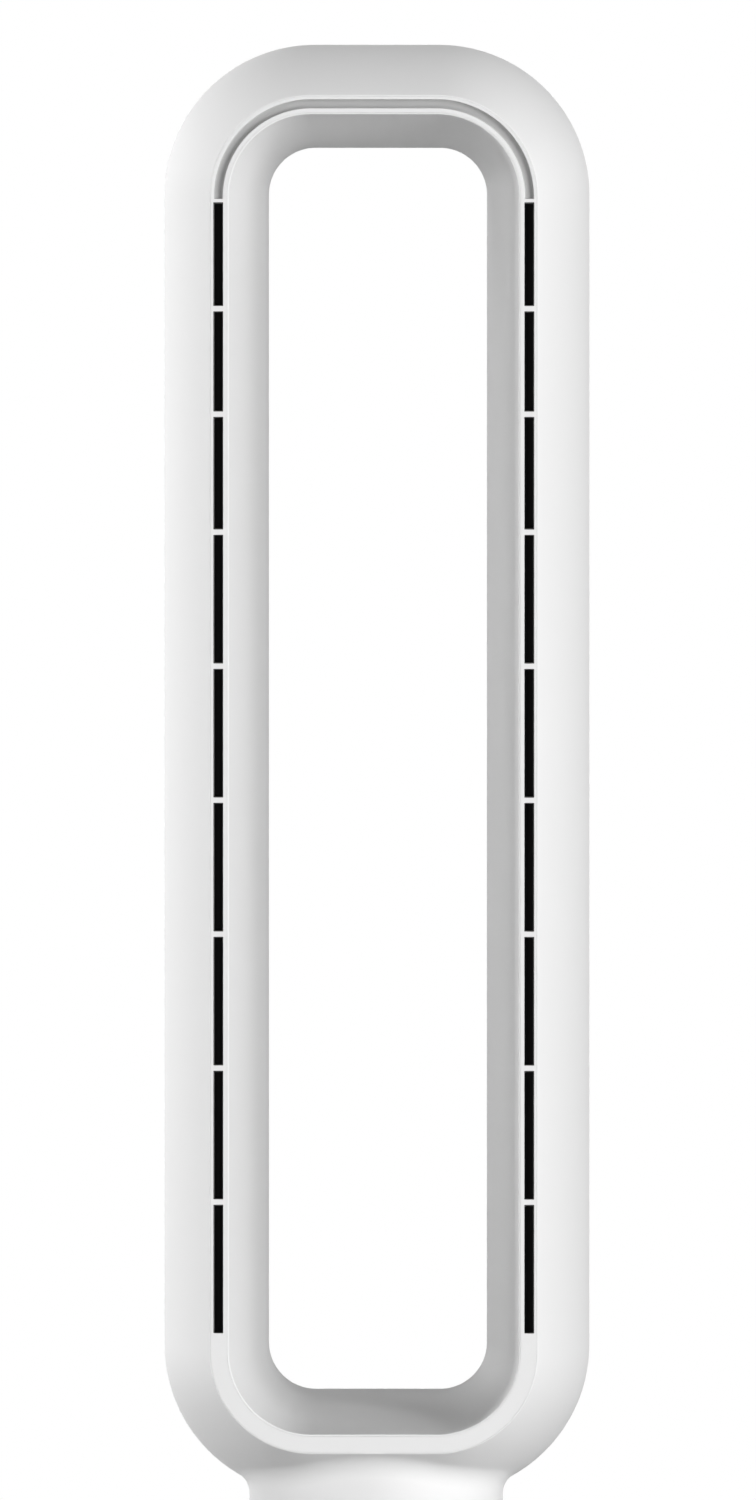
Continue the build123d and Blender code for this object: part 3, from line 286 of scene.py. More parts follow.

# %% [markdown]
# ### Painted shade in hollows
# The grooves and slots of the band are painted darker the deeper they lie behind its face, as painted shade,
# while the flat rims beside them stay white, and they are also made a little matter. The hollows lie at a known
# depth behind the piece's face, so one Map Range on the piece's own coordinates gives the mask, and a noise
# makes its edge uneven.

# %% Group: painted shade in hollows
def hollow_dust():
    group, start = new_group("hollow_dust", {"Roughness": 0.5, "Unshaded": 0.0, "Fully_shaded": 1.0, "Darkest": 0.6},
                             ["Roughness"])
    edge_scale, edge_detail, edge_reach = 120.0, 3.0, 0.3 * MM
    hollow_roughness = 0.3
    position = own_place(group)
    uneven = math_node(group, "MULTIPLY", noise(group, position, edge_scale, edge_detail), edge_reach)
    depth = math_node(group, "ADD", axes(group, position)["Y"], uneven)
    mask = ramp(group, depth, start.outputs["Unshaded"], start.outputs["Fully_shaded"])
    matt = math_node(group, "MULTIPLY", mask, hollow_roughness)
    # painted shade: the colour darkens with depth behind the face, down to the Darkest level
    colour = shaded(group, start.outputs["Colour"], mask, 1.0, start.outputs["Darkest"])
    rough = math_node(group, "ADD", start.outputs["Roughness"], matt)
    return put_out(group, Colour=colour, Roughness=rough)


hollow_shade_group = hollow_dust()

# %% [markdown]
# ### Dust on top
# The broad foot of a fan that stands on the floor is where dust settles. It lies only on faces that look up,
# in uneven clouds, and makes the plastic a little greyer, warmer and duller. So the mask is how far a face
# looks up, times a noise, and needs no painting.

# %% Group: settled dust
def settled_dust():
    group, start = new_group("settled_dust", {"Roughness": 0.5, "Amount": 0.2}, ["Roughness"])
    up_from, up_to = 0.5, 0.98
    cloud_scale, cloud_detail, cloud_from, cloud_to, cloud_least = 22.0, 6.0, 0.3, 0.7, 0.35
    dust_colour = (0.40, 0.38, 0.35, 1)
    coordinates = group.nodes.new("ShaderNodeTexCoord")
    facing_up = ramp(group, axes(group, coordinates.outputs["Normal"])["Z"], up_from, up_to)
    cloud = ramp(group, noise(group, coordinates.outputs["Object"], cloud_scale, cloud_detail),
                 cloud_from, cloud_to, cloud_least, soft=False)
    mask = math_node(group, "MULTIPLY", facing_up, cloud)
    mask = math_node(group, "MULTIPLY", mask, start.outputs["Amount"])
    tint = group.nodes.new("ShaderNodeMix")
    tint.data_type = "RGBA"
    tint.inputs["B"].default_value = dust_colour
    group.links.new(mask, tint.inputs["Factor"])
    group.links.new(start.outputs["Colour"], tint.inputs["A"])
    rough = math_node(group, "ADD", start.outputs["Roughness"], mask)
    return put_out(group, Colour=tint.outputs["Result"], Roughness=rough)


settled_group = settled_dust()

# %% [markdown]
# ### Woven screen
# Behind the inlet slots stands a woven screen that keeps fluff out of the fan. Its threads run round and up
# the cylinder, so the pattern follows the direction round the axis and the height instead of flat axes, and
# each thread rises and dips as it passes over and under the others.

# %% Group: woven screen
def woven_screen():
    group, start = new_group("woven_screen", {"Columns": 200.0, "Pitch": 1.5 * MM, "Roughness": 0.6},
                             ["Roughness", "Height"])
    thread_from, thread_to, thread_rise, hole_shade = 0.2, 0.75, 0.3, 0.12
    fluff_scale, fluff_detail, fluff_roughness = 40.0, 4.0, 0.25
    position = own_place(group)
    along = axes(group, position)
    turn = math_node(group, "ARCTAN2", along["Y"], along["X"])
    around = math_node(group, "MULTIPLY", turn, start.outputs["Columns"])
    rows = math_node(group, "DIVIDE", along["Z"], start.outputs["Pitch"])
    upward = math_node(group, "MULTIPLY", rows, 2 * math.pi)
    across_wave = math_node(group, "SINE", around, 0.0)
    upward_wave = math_node(group, "SINE", upward, 0.0)
    thread = math_node(group, "MAXIMUM", across_wave, upward_wave)
    mask = ramp(group, thread, thread_from, thread_to)
    over = math_node(group, "MULTIPLY", across_wave, upward_wave)
    height = math_node(group, "ADD", mask, math_node(group, "MULTIPLY", over, thread_rise))
    fluff = math_node(group, "MULTIPLY", noise(group, position, fluff_scale, fluff_detail), fluff_roughness)
    colour = shaded(group, start.outputs["Colour"], mask, hole_shade, 1.0)
    rough = math_node(group, "ADD", start.outputs["Roughness"], fluff)
    return put_out(group, Colour=colour, Roughness=rough, Height=height)


woven_group = woven_screen()

# %% [markdown]
# ### Turned and stamped metal
# Steel parts show fine rings from the lathe. The rings follow the distance from the upright axis, which is
# the axis of nearly every metal piece in this fan.

# %% Group: turned metal
def turned_metal():
    group, start = new_group("turned_metal", {"Rings": 400.0, "Roughness": 0.3}, ["Roughness", "Height"])
    ring_waver, ring_roughness = 0.4, 0.08
    stain_scale, stain_detail, stain_dark, stain_light = 60.0, 3.0, 0.9, 1.05
    position = own_place(group)
    wave = group.nodes.new("ShaderNodeTexWave")
    wave.wave_type = "RINGS"
    wave.rings_direction = "Z"
    wave.inputs["Distortion"].default_value = ring_waver
    group.links.new(position, wave.inputs["Vector"])
    group.links.new(start.outputs["Rings"], wave.inputs["Scale"])
    stain = noise(group, position, stain_scale, stain_detail)
    colour = shaded(group, start.outputs["Colour"], stain, stain_dark, stain_light)
    ring_step = math_node(group, "MULTIPLY", wave.outputs["Fac"], ring_roughness)
    rough = math_node(group, "ADD", start.outputs["Roughness"], ring_step)
    return put_out(group, Colour=colour, Roughness=rough, Height=wave.outputs["Fac"])


metal_group = turned_metal()

# %% [markdown]
# ### From group to material
# Each finish is one material. The group's height goes through a Bump node, because so fine a grain would need
# far too many faces as real geometry. Another group, such as settled dust or painted shade, can be laid between
# the first one and the shader, so that a dusty or shaded white needs no group of its own.

# %% Helper: a material from a group
bump_strength = 0.5
metal_relief = 0.004 * MM


def finish_from(group, name, colour, values, relief, metallic=0.0, reflect=0.5):
    """A material whose Principled shader is fed by a group; relief is the bump's depth in metres."""
    material = bpy.data.materials.new(name)
    material.use_nodes = True
    tree = material.node_tree
    shader = tree.nodes["Principled BSDF"]
    shader.inputs["Metallic"].default_value = metallic
    shader.inputs["Specular IOR Level"].default_value = reflect
    node = tree.nodes.new("ShaderNodeGroup")
    node.node_tree = group
    node.inputs["Colour"].default_value = (*colour, 1)
    for label, value in values.items():
        node.inputs[label].default_value = value
    tree.links.new(node.outputs["Colour"], shader.inputs["Base Color"])
    tree.links.new(node.outputs["Roughness"], shader.inputs["Roughness"])
    bump = tree.nodes.new("ShaderNodeBump")
    bump.inputs["Strength"].default_value = bump_strength
    bump.inputs["Distance"].default_value = relief
    tree.links.new(node.outputs["Height"], bump.inputs["Height"])
    tree.links.new(bump.outputs["Normal"], shader.inputs["Normal"])
    return material


def plastic(name, colour, roughness, grain=1400.0, relief=0.01 * MM, reflect=0.5):
    return finish_from(skin_group, name, colour, {"Roughness": roughness, "Grain": grain}, relief,
                       reflect=reflect)


def metal(name, colour, roughness, rings=500.0):
    return finish_from(metal_group, name, colour, {"Roughness": roughness, "Rings": rings},
                       metal_relief, metallic=1.0)


def with_layer(material, group, values):
    """A copy of a finish with one more group between its own colour and roughness and the shader."""
    copy = material.copy()
    copy.name = f"{material.name}_{group.name}"
    tree = copy.node_tree
    shader = tree.nodes["Principled BSDF"]
    layer = tree.nodes.new("ShaderNodeGroup")
    layer.node_tree = group
    for label, value in values.items():
        layer.inputs[label].default_value = value
    for label, target in (("Colour", "Base Color"), ("Roughness", "Roughness")):
        tree.links.new(shader.inputs[target].links[0].from_socket, layer.inputs[label])
        tree.links.new(layer.outputs[label], shader.inputs[target])
    return copy


# %% [markdown]
# ### All the finishes
# White plastic gives back about three quarters of the light, so it is written as a light grey of 0.76, and
# the lamps don't wash it out. Its gloss, satin, is set low, because the walls in the photograph show none.
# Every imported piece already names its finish, so it is enough to make one material of each name.

# %% All the finishes of the fan
satin = 0.04
moulded_grain = 0.035 * MM
screen_columns = 240.0
screen_pitch = 1.5 * MM
screen_relief = 0.3 * MM
finishes = {
    "shell_white": plastic("shell_white", (0.76, 0.76, 0.76), 0.55, relief=moulded_grain, reflect=satin),
    "guide_black": plastic("guide_black", (0.015, 0.015, 0.015), 0.55),
    "grille_white": plastic("grille_white", (0.75, 0.75, 0.75), 0.55, relief=moulded_grain, reflect=satin),
    "screen_grey": finish_from(woven_group, "screen_grey", (0.16, 0.16, 0.165),
                               {"Columns": screen_columns, "Pitch": screen_pitch}, screen_relief),
    "inner_grey": plastic("inner_grey", (0.22, 0.22, 0.23), 0.5),
    "impeller_grey": plastic("impeller_grey", (0.13, 0.13, 0.14), 0.42),
    "steel": metal("steel", (0.62, 0.61, 0.60), 0.28),
    "counterweight_steel": metal("counterweight_steel", (0.30, 0.29, 0.28), 0.55, 120.0),
    "rubber_black": plastic("rubber_black", (0.02, 0.02, 0.02), 0.8, 700.0, 0.03 * MM),
    "gear_nylon": plastic("gear_nylon", (0.72, 0.69, 0.60), 0.45),
    "board_green": plastic("board_green", (0.02, 0.14, 0.05), 0.35),
    "switch_black": plastic("switch_black", (0.025, 0.025, 0.025), 0.5),
    "window_black": plastic("window_black", (0.008, 0.008, 0.01), 0.06, 300.0, 0.001 * MM),
    "fascia_white": plastic("fascia_white", (0.74, 0.74, 0.74), 0.35, reflect=satin),
    "button_grey": plastic("button_grey", (0.45, 0.45, 0.46), 0.45),
    "copper": metal("copper", (0.72, 0.32, 0.16), 0.32, 900.0),
    "magnet": metal("magnet", (0.16, 0.16, 0.17), 0.5, 80.0),
    "washer_acetal": plastic("washer_acetal", (0.74, 0.74, 0.70), 0.4),
}
for node in nodes.values():
    for slot in node.material_slots:
        slot.material = finishes[slot.material.name.split(".")[0]]
print("finishes:", len(finishes))

# %% [markdown]
# ## Drawing a piece as by hand
# Most pieces of the loop have one section all the way round. Such a piece is drawn with a pen: one vertex is
# left over from a plane, extruded along straight runs and spun along arcs. The finished section is then
# carried round the loop, by extrusion along the straight sides and by spin round the four corners.

# %% Helper: start, draw, finish
merge_gap = 0.002 * MM
smooth_angle = 30.0


def edit_mode():
    bpy.ops.object.mode_set(mode="EDIT")


def object_mode():
    bpy.ops.object.mode_set(mode="OBJECT")


def select_mesh():
    """Selects the whole of the mesh that is being edited."""
    bpy.ops.mesh.select_all(action="SELECT")


def take(*pieces):
    """Selects these pieces and nothing else, with the first one active."""
    bpy.ops.object.select_all(action="DESELECT")
    for piece in pieces:
        piece.select_set(True)
    bpy.context.view_layer.objects.active = pieces[0]


def copy_of(source, name):
    """A copy of a piece with a mesh of its own."""
    piece = source.copy()
    piece.data = source.data.copy()
    piece.name = name
    bpy.context.collection.objects.link(piece)
    take(piece)
    return piece


def pen_down(name, x, y, z):
    """A new object of one vertex, in edit mode with that vertex selected."""
    bpy.ops.object.select_all(action="DESELECT")
    bpy.ops.mesh.primitive_plane_add(size=MM, location=(0, 0, 0))
    piece = bpy.context.object
    piece.name = name
    piece.data.name = name
    edit_mode()
    bpy.ops.mesh.select_mode(type="VERT")
    select_mesh()
    bpy.ops.mesh.merge(type="CENTER")
    bpy.ops.transform.translate(value=(x, y, z))
    return piece


def push_on(step):
    """Extrudes everything that is selected by a step."""
    bpy.ops.mesh.extrude_region_move(TRANSFORM_OT_translate={"value": step})


def pen_line(x, y, z=0.0):
    """Draws on from the selected vertex by a step."""
    push_on((x, y, z))


def turn_on(angle, steps, centre, axis):
    """Spins everything that is selected round an axis, by the right-hand rule.
    Blender's own spin turns the other way, so the angle's sign is changed here."""
    bpy.ops.mesh.spin(steps=steps, angle=-angle, center=centre, axis=axis)


def pen_up():
    """Merges the doubles, turns the faces outwards and leaves edit mode."""
    select_mesh()
    bpy.ops.mesh.remove_doubles(threshold=merge_gap)
    bpy.ops.mesh.normals_make_consistent(inside=False)
    object_mode()
    bpy.ops.object.shade_smooth_by_angle(angle=math.radians(smooth_angle))


def apply_modifier(piece, kind, **settings):
    """Adds one modifier with its settings and applies it."""
    take(piece)
    modifier = piece.modifiers.new(kind.lower(), kind)
    for label, value in settings.items():
        setattr(modifier, label, value)
    bpy.ops.object.modifier_apply(modifier=modifier.name)


def round_edges(piece, width, segments=2, angle=smooth_angle):
    """Breaks the sharp edges as a mould does, and shades the piece smooth between them."""
    apply_modifier(piece, "BEVEL", width=width, segments=segments, limit_method="ANGLE",
                   angle_limit=math.radians(angle))
    bpy.ops.object.shade_smooth_by_angle(angle=math.radians(angle))


def place(piece, finish, body, *replaced):
    """Gives a finished piece its material and its body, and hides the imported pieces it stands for."""
    piece.data.materials.clear()
    piece.data.materials.append(finishes[finish])
    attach(piece, body)
    if replaced:
        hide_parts(*replaced)
    print(piece.name, "faces:", len(piece.data.polygons))


# %% [markdown]
# ### Rings and corners of the loop
# The loop has straight sides and round corners. How far out a point lies is measured from the line through
# the four corner centres, and with that one measure a whole ring of edges is picked in code and rounded. A
# section is carried round by the same centres. A curve with a bevel object could do it too, but extrusion and
# spin put every edge at a known place, where slots are cut and rims are rounded.

# %% Helper: round one edge that runs round the loop
rim_segments = 4
near_ring = 0.01 * MM


def outward(point):
    """How far a point lies from the line through the loop's corner centres."""
    beside = max(abs(point.x) - corner_x, 0.0)
    above = max(abs(point.z - loop_centre_z) - corner_drop, 0.0)
    return math.hypot(beside, above)


def select_vertices(piece, wanted):
    """Selects the vertices that pass a test, and goes to edit mode."""
    if piece.mode == "EDIT":
        object_mode()
    take(piece)
    edit_mode()
    bpy.ops.mesh.select_mode(type="VERT")
    bpy.ops.mesh.select_all(action="DESELECT")
    object_mode()
    for vertex in piece.data.vertices:
        vertex.select = wanted(vertex.co)
    edit_mode()


def round_ring(piece, reach, width):
    """Rounds the edge that runs round the loop's front face at one reach."""
    select_vertices(piece, lambda point: abs(point.y - front_y) < near_ring
                    and abs(outward(point) - reach) < near_ring)
    bpy.ops.mesh.select_mode(type="EDGE")
    bpy.ops.mesh.bevel(offset=width, segments=rim_segments, affect="EDGES")
    object_mode()


# %% Helper: carry a section round the loop
corner_steps = 40


def carry_round(side_stations):
    """Carries the selected section, drawn at the foot of the right side, once round the loop.
    side_stations are the heights at which the straight sides get an edge, from the foot up."""
    heights = [corner_foot] + side_stations + [corner_z]
    across = -2 * corner_x
    turn_axis = (0, -1, 0)
    for low, high in zip(heights, heights[1:]):
        push_on((0, 0, high - low))
    turn_on(math.pi / 2, corner_steps, (corner_x, 0, corner_z), turn_axis)
    push_on((across, 0, 0))
    turn_on(math.pi / 2, corner_steps, (-corner_x, 0, corner_z), turn_axis)
    for high, low in zip(heights[::-1], heights[-2::-1]):
        push_on((0, 0, low - high))
    turn_on(math.pi / 2, corner_steps, (-corner_x, 0, corner_foot), turn_axis)
    push_on((-across, 0, 0))
    turn_on(math.pi / 2, corner_steps, (corner_x, 0, corner_foot), turn_axis)


print("a section is carried through", 4 * corner_steps, "corner steps")

# %% [markdown]
# ## Outlet bezel
# The band in front of the loop is one flat plate with nine slots down each side and a rounded groove over the
# top arch. It is drawn as one skin, carried round with an edge at each slot end, so that the slots are simply
# faces that are deleted. The skin is then extruded straight back, which gives the plate its thickness and the
# slots their walls. Solidify would push the groove's steep walls sideways, out through the narrow rims.

# %% Outlet bezel
groove_round = 0.15 * MM
groove_wall = 0.15 * MM
rim_degrees = (30, 60, 90)
channel_degrees = (15, 30, 45, 60, 75, 90)
# Painted shade in the band's groove and slots: the depth where it starts and its darkest level
shade_onset = 0.2 * MM
shade_darkest = 0.5
plate_edge = 0.08 * MM
plate_angle = 40.0


def groove_profile():
    """Places across the groove and their depths: a small round at each rim, a deep round channel between."""
    half = slot_width / 2
    rim = [(groove_round * math.sin(turn), groove_round * (1 - math.cos(turn)))
           for turn in map(math.radians, rim_degrees)]
    channel = [(half - (half - groove_round) * math.cos(turn),
                groove_round + (groove_depth - groove_round) * math.sin(turn))
               for turn in map(math.radians, channel_degrees)]
    inner_half = rim + channel
    outer_half = [(slot_width - across, depth) for across, depth in inner_half[-2::-1]]
    return inner_half + outer_half


def in_slot(point):
    between = slot_inner < outward(point) < slot_outer
    return between and any(low < point.z < high for low, high in slot_ranges)


def select_faces(piece, wanted):
    """Selects the faces whose centre passes a test, from edit mode."""
    bpy.ops.mesh.select_all(action="DESELECT")
    bpy.ops.mesh.select_mode(type="FACE")
    object_mode()
    for face in piece.data.polygons:
        face.select = wanted(face.center)
    edit_mode()


def make_bezel():
    profile = groove_profile()
    places = [0.0] + [across for across, _ in profile] + [slot_width]
    groove_foot = slots_top + groove_rib
    bezel = pen_down("bezel_band", corner_x + bezel_inner, front_y, corner_foot)
    pen_line(slot_inner - bezel_inner, 0)
    for near_side, far_side in zip(places, places[1:]):
        pen_line(far_side - near_side, 0)
    pen_line(bezel_outer - slot_outer, 0)
    select_mesh()
    stations = [height for span in slot_ranges[::-1] for height in span]
    carry_round(stations + [groove_foot, groove_foot + groove_wall])
    select_mesh()
    bpy.ops.mesh.remove_doubles(threshold=merge_gap)
    select_faces(bezel, in_slot)
    bpy.ops.mesh.delete(type="FACE")
    for across, depth in profile:
        select_vertices(bezel, lambda point: point.z > groove_foot + groove_wall / 2
                        and abs(outward(point) - slot_inner - across) < near_ring / 2)
        bpy.ops.transform.translate(value=(0, depth, 0))
    select_mesh()
    push_on((0, bezel_plate, 0))
    pen_up()
    round_edges(bezel, plate_edge, angle=plate_angle)
    return bezel


bezel = make_bezel()
place(bezel, "shell_white", "head", "outlet_bezel")
# The band's grooves and slots get painted shade that deepens with depth behind its face
bezel.data.materials[0] = with_layer(finishes["shell_white"], hollow_shade_group, {
    "Unshaded": front_y + shade_onset, "Fully_shaded": front_y + groove_depth, "Darkest": shade_darkest})

# %% [markdown]
# ## Inner liner
# The tapered wall of the opening is a moulding of its own, with a rounded lip at the back. Its section is
# drawn as a closed wall: the rim at the front, the wall, the lip, the seam and the same line back inside. One
# line with a Solidify modifier would be shorter, but it would tilt the wall's ends, and the rim and the seam
# have to lie exactly beside their neighbours.

# %% Inner liner
lip_centre_y = back_y - back_lip_radius
taper_length = math.hypot(rim_inner - back_inner, back_y - front_y)
taper_side = (rim_inner - back_inner) / taper_length
taper_along = (back_y - front_y) / taper_length
lip_centre_u = back_inner + back_lip_radius / math.tan(math.acos(taper_side) / 2)
lip_turn = math.pi / 2 + math.asin(taper_side)
lip_steps = 16
liner_rim_round = 0.6 * MM
liner_edge = 0.08 * MM


def make_liner():
    start_u = lip_centre_u - back_lip_radius * taper_along
    start_y = lip_centre_y - back_lip_radius * taper_side
    seam = back_seam - seam_gap / 2
    lip_u = rim_inner + liner_lip
    wall_slope = (rim_inner - back_inner) / (back_y - front_y)
    inner_foot = back_inner + liner_wall / taper_along
    inner_lip_y = back_y - (lip_u - inner_foot) / wall_slope
    inner_start_u = lip_centre_u - (back_lip_radius - liner_wall) * taper_along
    inner_start_y = lip_centre_y - (back_lip_radius - liner_wall) * taper_side
    liner = pen_down("aperture_liner", corner_x + lip_centre_u, back_y, corner_foot)
    centre = (corner_x + lip_centre_u, lip_centre_y, corner_foot)
    turn_on(lip_turn, lip_steps, centre, (0, 0, 1))
    pen_line(rim_inner - start_u, front_y - start_y)
    pen_line(liner_lip, 0)
    pen_line(0, inner_lip_y - front_y)
    pen_line(inner_start_u - lip_u, inner_start_y - inner_lip_y)
    turn_on(-lip_turn, lip_steps, centre, (0, 0, 1))
    pen_line(seam - lip_centre_u, 0)
    pen_line(0, liner_wall)
    pen_line(lip_centre_u - seam, 0)
    select_mesh()
    carry_round([])
    pen_up()
    round_ring(liner, rim_inner, liner_rim_round)
    round_edges(liner, liner_edge)
    return liner


place(make_liner(), "shell_white", "head", "inner_liner")

# %% [markdown]
# ## The neck's blend
# Where the round neck runs into the underside of the loop, the mould has a soft hollow of 12 mm. Its edge is
# a curve in space, so it can't be bevelled: for each direction round the neck, a circle is rolled into the
# corner between the neck's side and the loop's underside, and the skin follows that circle.

# %% Underside of the loop
blend_samples = 240
search_rounds = 26
tuck_in = 2.0 * MM
tuck_up = 0.05 * MM


def section_reach(y):
    """How far the loop's section reaches out at a depth."""
    if y < parting_y:
        return corner_radius - nose_radius + math.sqrt(nose_radius**2 - (y - parting_y) ** 2)
    depth = min(y - parting_y, heel_radius)
    return corner_radius - heel_radius + math.sqrt(heel_radius**2 - depth**2)


def underside(radius, angle):
    """Height of the loop's underside at a distance and direction from the neck's axis."""
    reach = section_reach(radius * math.sin(angle))
    beside = max(abs(radius * math.cos(angle)) - corner_x, 0.0)
    return corner_foot - math.sqrt(max(reach**2 - beside**2, 0.0))


def blend_curve(angle, steps):
    """Points (radius, height) of the skin from the neck's side to the loop's underside."""
    across = neck_radius + neck_blend

    def nearest(height):
        samples = [neck_radius + neck_blend * index / blend_samples
                   for index in range(2 * blend_samples + 1)]
        return min((math.hypot(r - across, underside(r, angle) - height), r) for r in samples)

    low = underside(neck_radius, angle) - 2 * neck_blend
    high = underside(neck_radius, angle)
    for _ in range(search_rounds):
        middle = (low + high) / 2
        if nearest(middle)[0] > neck_blend:
            low = middle
        else:
            high = middle
    touch = nearest(low)[1]
    rise = math.atan2(underside(touch, angle) - low, across - touch)
    arc = [(across - neck_blend * math.cos(rise * index / steps),
            low + neck_blend * math.sin(rise * index / steps)) for index in range(steps + 1)]
    buried = (touch + tuck_in, underside(touch + tuck_in, angle) + tuck_up)
    return arc + [buried]


print("blend at the side:", [round(v, 4) for v in blend_curve(0.0, 4)[-2]])

# %% Neck
neck_columns = 144
blend_steps = 14


def make_neck():
    """A tube whose rows are pushed up evenly first, and then moved to their places on the blend."""
    bpy.ops.object.select_all(action="DESELECT")
    bpy.ops.mesh.primitive_circle_add(vertices=neck_columns, radius=neck_radius, location=(0, 0, neck_foot))
    neck = bpy.context.object
    neck.name = "neck_skin"
    bpy.ops.object.transform_apply(location=True, rotation=True, scale=True)
    edit_mode()
    select_mesh()
    for _ in range(blend_steps + 2):
        push_on((0, 0, MM))
    object_mode()
    curves = {}
    for vertex in neck.data.vertices:
        row = round((vertex.co.z - neck_foot) / MM)
        if row:
            angle = math.atan2(vertex.co.y, vertex.co.x)
            column = round(angle, 5)
            if column not in curves:
                curves[column] = blend_curve(angle, blend_steps)
            radius, height = curves[column][row - 1]
            vertex.co = (radius * math.cos(angle), radius * math.sin(angle), height)
    edit_mode()
    select_mesh()
    bpy.ops.mesh.normals_make_consistent(inside=False)
    object_mode()
    first_face = neck.data.polygons[0]
    if first_face.normal.dot(first_face.center) < 0:
        neck.data.flip_normals()
    return neck


neck = make_neck()
print("neck faces:", len(neck.data.polygons))

# %% [markdown]
# ## Front and rear shells
# The outside of the loop and neck is moulded in two halves that meet at a parting line. Each half is a swept
# wall plus its share of the neck, which is cut from the whole neck skin at the parting plane. The neck's
# margin is tucked into the wall, so the two need no cut along their curved joint.

# %% Shells
nose_steps = 20
heel_steps = 20
shell_rim_round = 0.4 * MM
shell_edge = 0.12 * MM


def neck_share(name, front):
    """A copy of the neck skin cut at the parting plane, with the shell's wall."""
    share = copy_of(neck, name)
    edit_mode()
    select_mesh()
    bpy.ops.mesh.bisect(plane_co=(0, parting_y, 0), plane_no=(0, 1, 0), clear_inner=not front,
                        clear_outer=front)
    object_mode()
    apply_modifier(share, "SOLIDIFY", thickness=shell_wall, offset=-1.0)
    return share


def close_section(shell):
    """Joins the two open ends of a drawn section, the only vertices with a single edge."""
    bpy.ops.mesh.select_all(action="DESELECT")
    object_mode()
    for vertex in shell.data.vertices:
        vertex.select = sum(vertex.index in edge.vertices for edge in shell.data.edges) == 1
    edit_mode()
    bpy.ops.mesh.edge_face_add()


def finish_shell(shell, share):
    """Adds a shell's share of the neck and rounds its edges."""
    take(shell, share)
    bpy.ops.object.join()
    round_edges(shell, shell_edge)
    return shell


def make_front_shell():
    lip = rim_outer - shell_lip
    inner_radius = nose_radius - shell_wall
    inner_reach = lip - corner_radius + nose_radius
    inner_turn = math.acos(inner_reach / inner_radius)
    centre = (corner_x + corner_radius - nose_radius, parting_y, corner_foot)
    shell = pen_down("front_skin", corner_x + lip, front_y, corner_foot)
    pen_line(shell_lip, 0)
    turn_on(nose_angle, nose_steps, centre, (0, 0, 1))
    pen_line(-shell_wall, 0)
    turn_on(-inner_turn, nose_steps, centre, (0, 0, 1))
    close_section(shell)
    select_mesh()
    carry_round([])
    pen_up()
    round_ring(shell, rim_outer, shell_rim_round)
    return finish_shell(shell, neck_share("neck_front", True))


def make_rear_shell():
    seam = back_seam + seam_gap / 2
    centre = (corner_x + corner_radius - heel_radius, parting_y, corner_foot)
    run = corner_radius - heel_radius - seam
    shell = pen_down("rear_skin", corner_x + corner_radius, parting_y, corner_foot)
    turn_on(math.pi / 2, heel_steps, centre, (0, 0, 1))
    pen_line(-run, 0)
    pen_line(0, -shell_wall)
    pen_line(run, 0)
    turn_on(-math.pi / 2, heel_steps, centre, (0, 0, 1))
    pen_line(shell_wall, 0)
    select_mesh()
    carry_round([])
    pen_up()
    return finish_shell(shell, neck_share("neck_rear", False))


place(make_front_shell(), "shell_white", "head", "front_shell")
place(make_rear_shell(), "shell_white", "head", "rear_shell")
bpy.data.objects.remove(neck)

# %% [markdown]
# ## Dressed copies of the plain pieces
# Pieces whose shape is already right only lack the small roundings that catch the light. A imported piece's
# mesh is loose triangles and is left alone, so a copy is merged, its flat areas are joined into single faces,
# and its edges are rounded by a bevel.

# %% Dressed copies
packed_gap = 0.005 * MM
flat_angle = 0.5
dressed_segments = 3
dressed_angle = 28.0
soft_segments = 5


def soften_rim(piece, wanted, width):
    """Rounds one ring of edges by a width of its own."""
    select_vertices(piece, wanted)
    bpy.ops.mesh.select_mode(type="EDGE")
    bpy.ops.mesh.bevel(offset=width, segments=soft_segments, affect="EDGES")
    object_mode()


def dress(name, finish, body, width, rims=(), rim_round=0.0):
    """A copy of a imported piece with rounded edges, standing for it."""
    piece = copy_of(nodes[name], "dressed_" + name)
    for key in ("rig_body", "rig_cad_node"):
        del piece[key]
    piece.parent = None
    edit_mode()
    select_mesh()
    bpy.ops.mesh.remove_doubles(threshold=packed_gap)
    bpy.ops.mesh.dissolve_limited(angle_limit=math.radians(flat_angle))
    object_mode()
    for wanted in rims:
        soften_rim(piece, wanted, rim_round)
    round_edges(piece, width, dressed_segments, dressed_angle)
    place(piece, finish, body, name)
    return piece


outside = [
    ("upper_collar", "shell_white", "head", 0.3),
    ("inlet_grille", "grille_white", "head", 0.35),
    ("lower_housing", "shell_white", "head", 0.3),
    ("control_fascia", "fascia_white", "head", 0.15),
    ("speed_down_button", "button_grey", "speed_down_key", 0.15),
    ("power_button", "button_grey", "power_key", 0.15),
    ("speed_up_button", "button_grey", "speed_up_key", 0.15),
    ("swing_button", "button_grey", "swing_key", 0.15),
    ("timer_button", "button_grey", "timer_key", 0.15),
    ("display_window", "window_black", "head", 0.1),
]
for name, finish, body, width in outside:
    dress(name, finish, body, width * MM)

# %% [markdown]
# ### Foot of the fan
# The round cover of the foot has a chamfered rim. A mould leaves the chamfer's two edges soft, much softer
# than the small edges elsewhere, so both rings are rounded first. Its upper side gets the layer of settled
# dust.

# %% Foot cover
cover_edge = 0.3 * MM
cover_rim_round = 1.1 * MM
near_edge = 0.02 * MM
outer_share = 0.8
cover_dust = 0.22
cover_low, cover_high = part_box("base_cover")


def on_top_ring(point):
    return (abs(point.z - cover_high.z) < near_edge
            and math.hypot(point.x, point.y) > outer_share * cover_high.x)


def on_side_ring(point):
    return (abs(math.hypot(point.x, point.y) - cover_high.x) < near_edge
            and point.z > (cover_low.z + cover_high.z) / 2)


foot_cover = dress("base_cover", "shell_white", "base", cover_edge, (on_top_ring, on_side_ring),
                   cover_rim_round)
foot_cover.data.materials[0] = with_layer(finishes["shell_white"], settled_group, {"Amount": cover_dust})

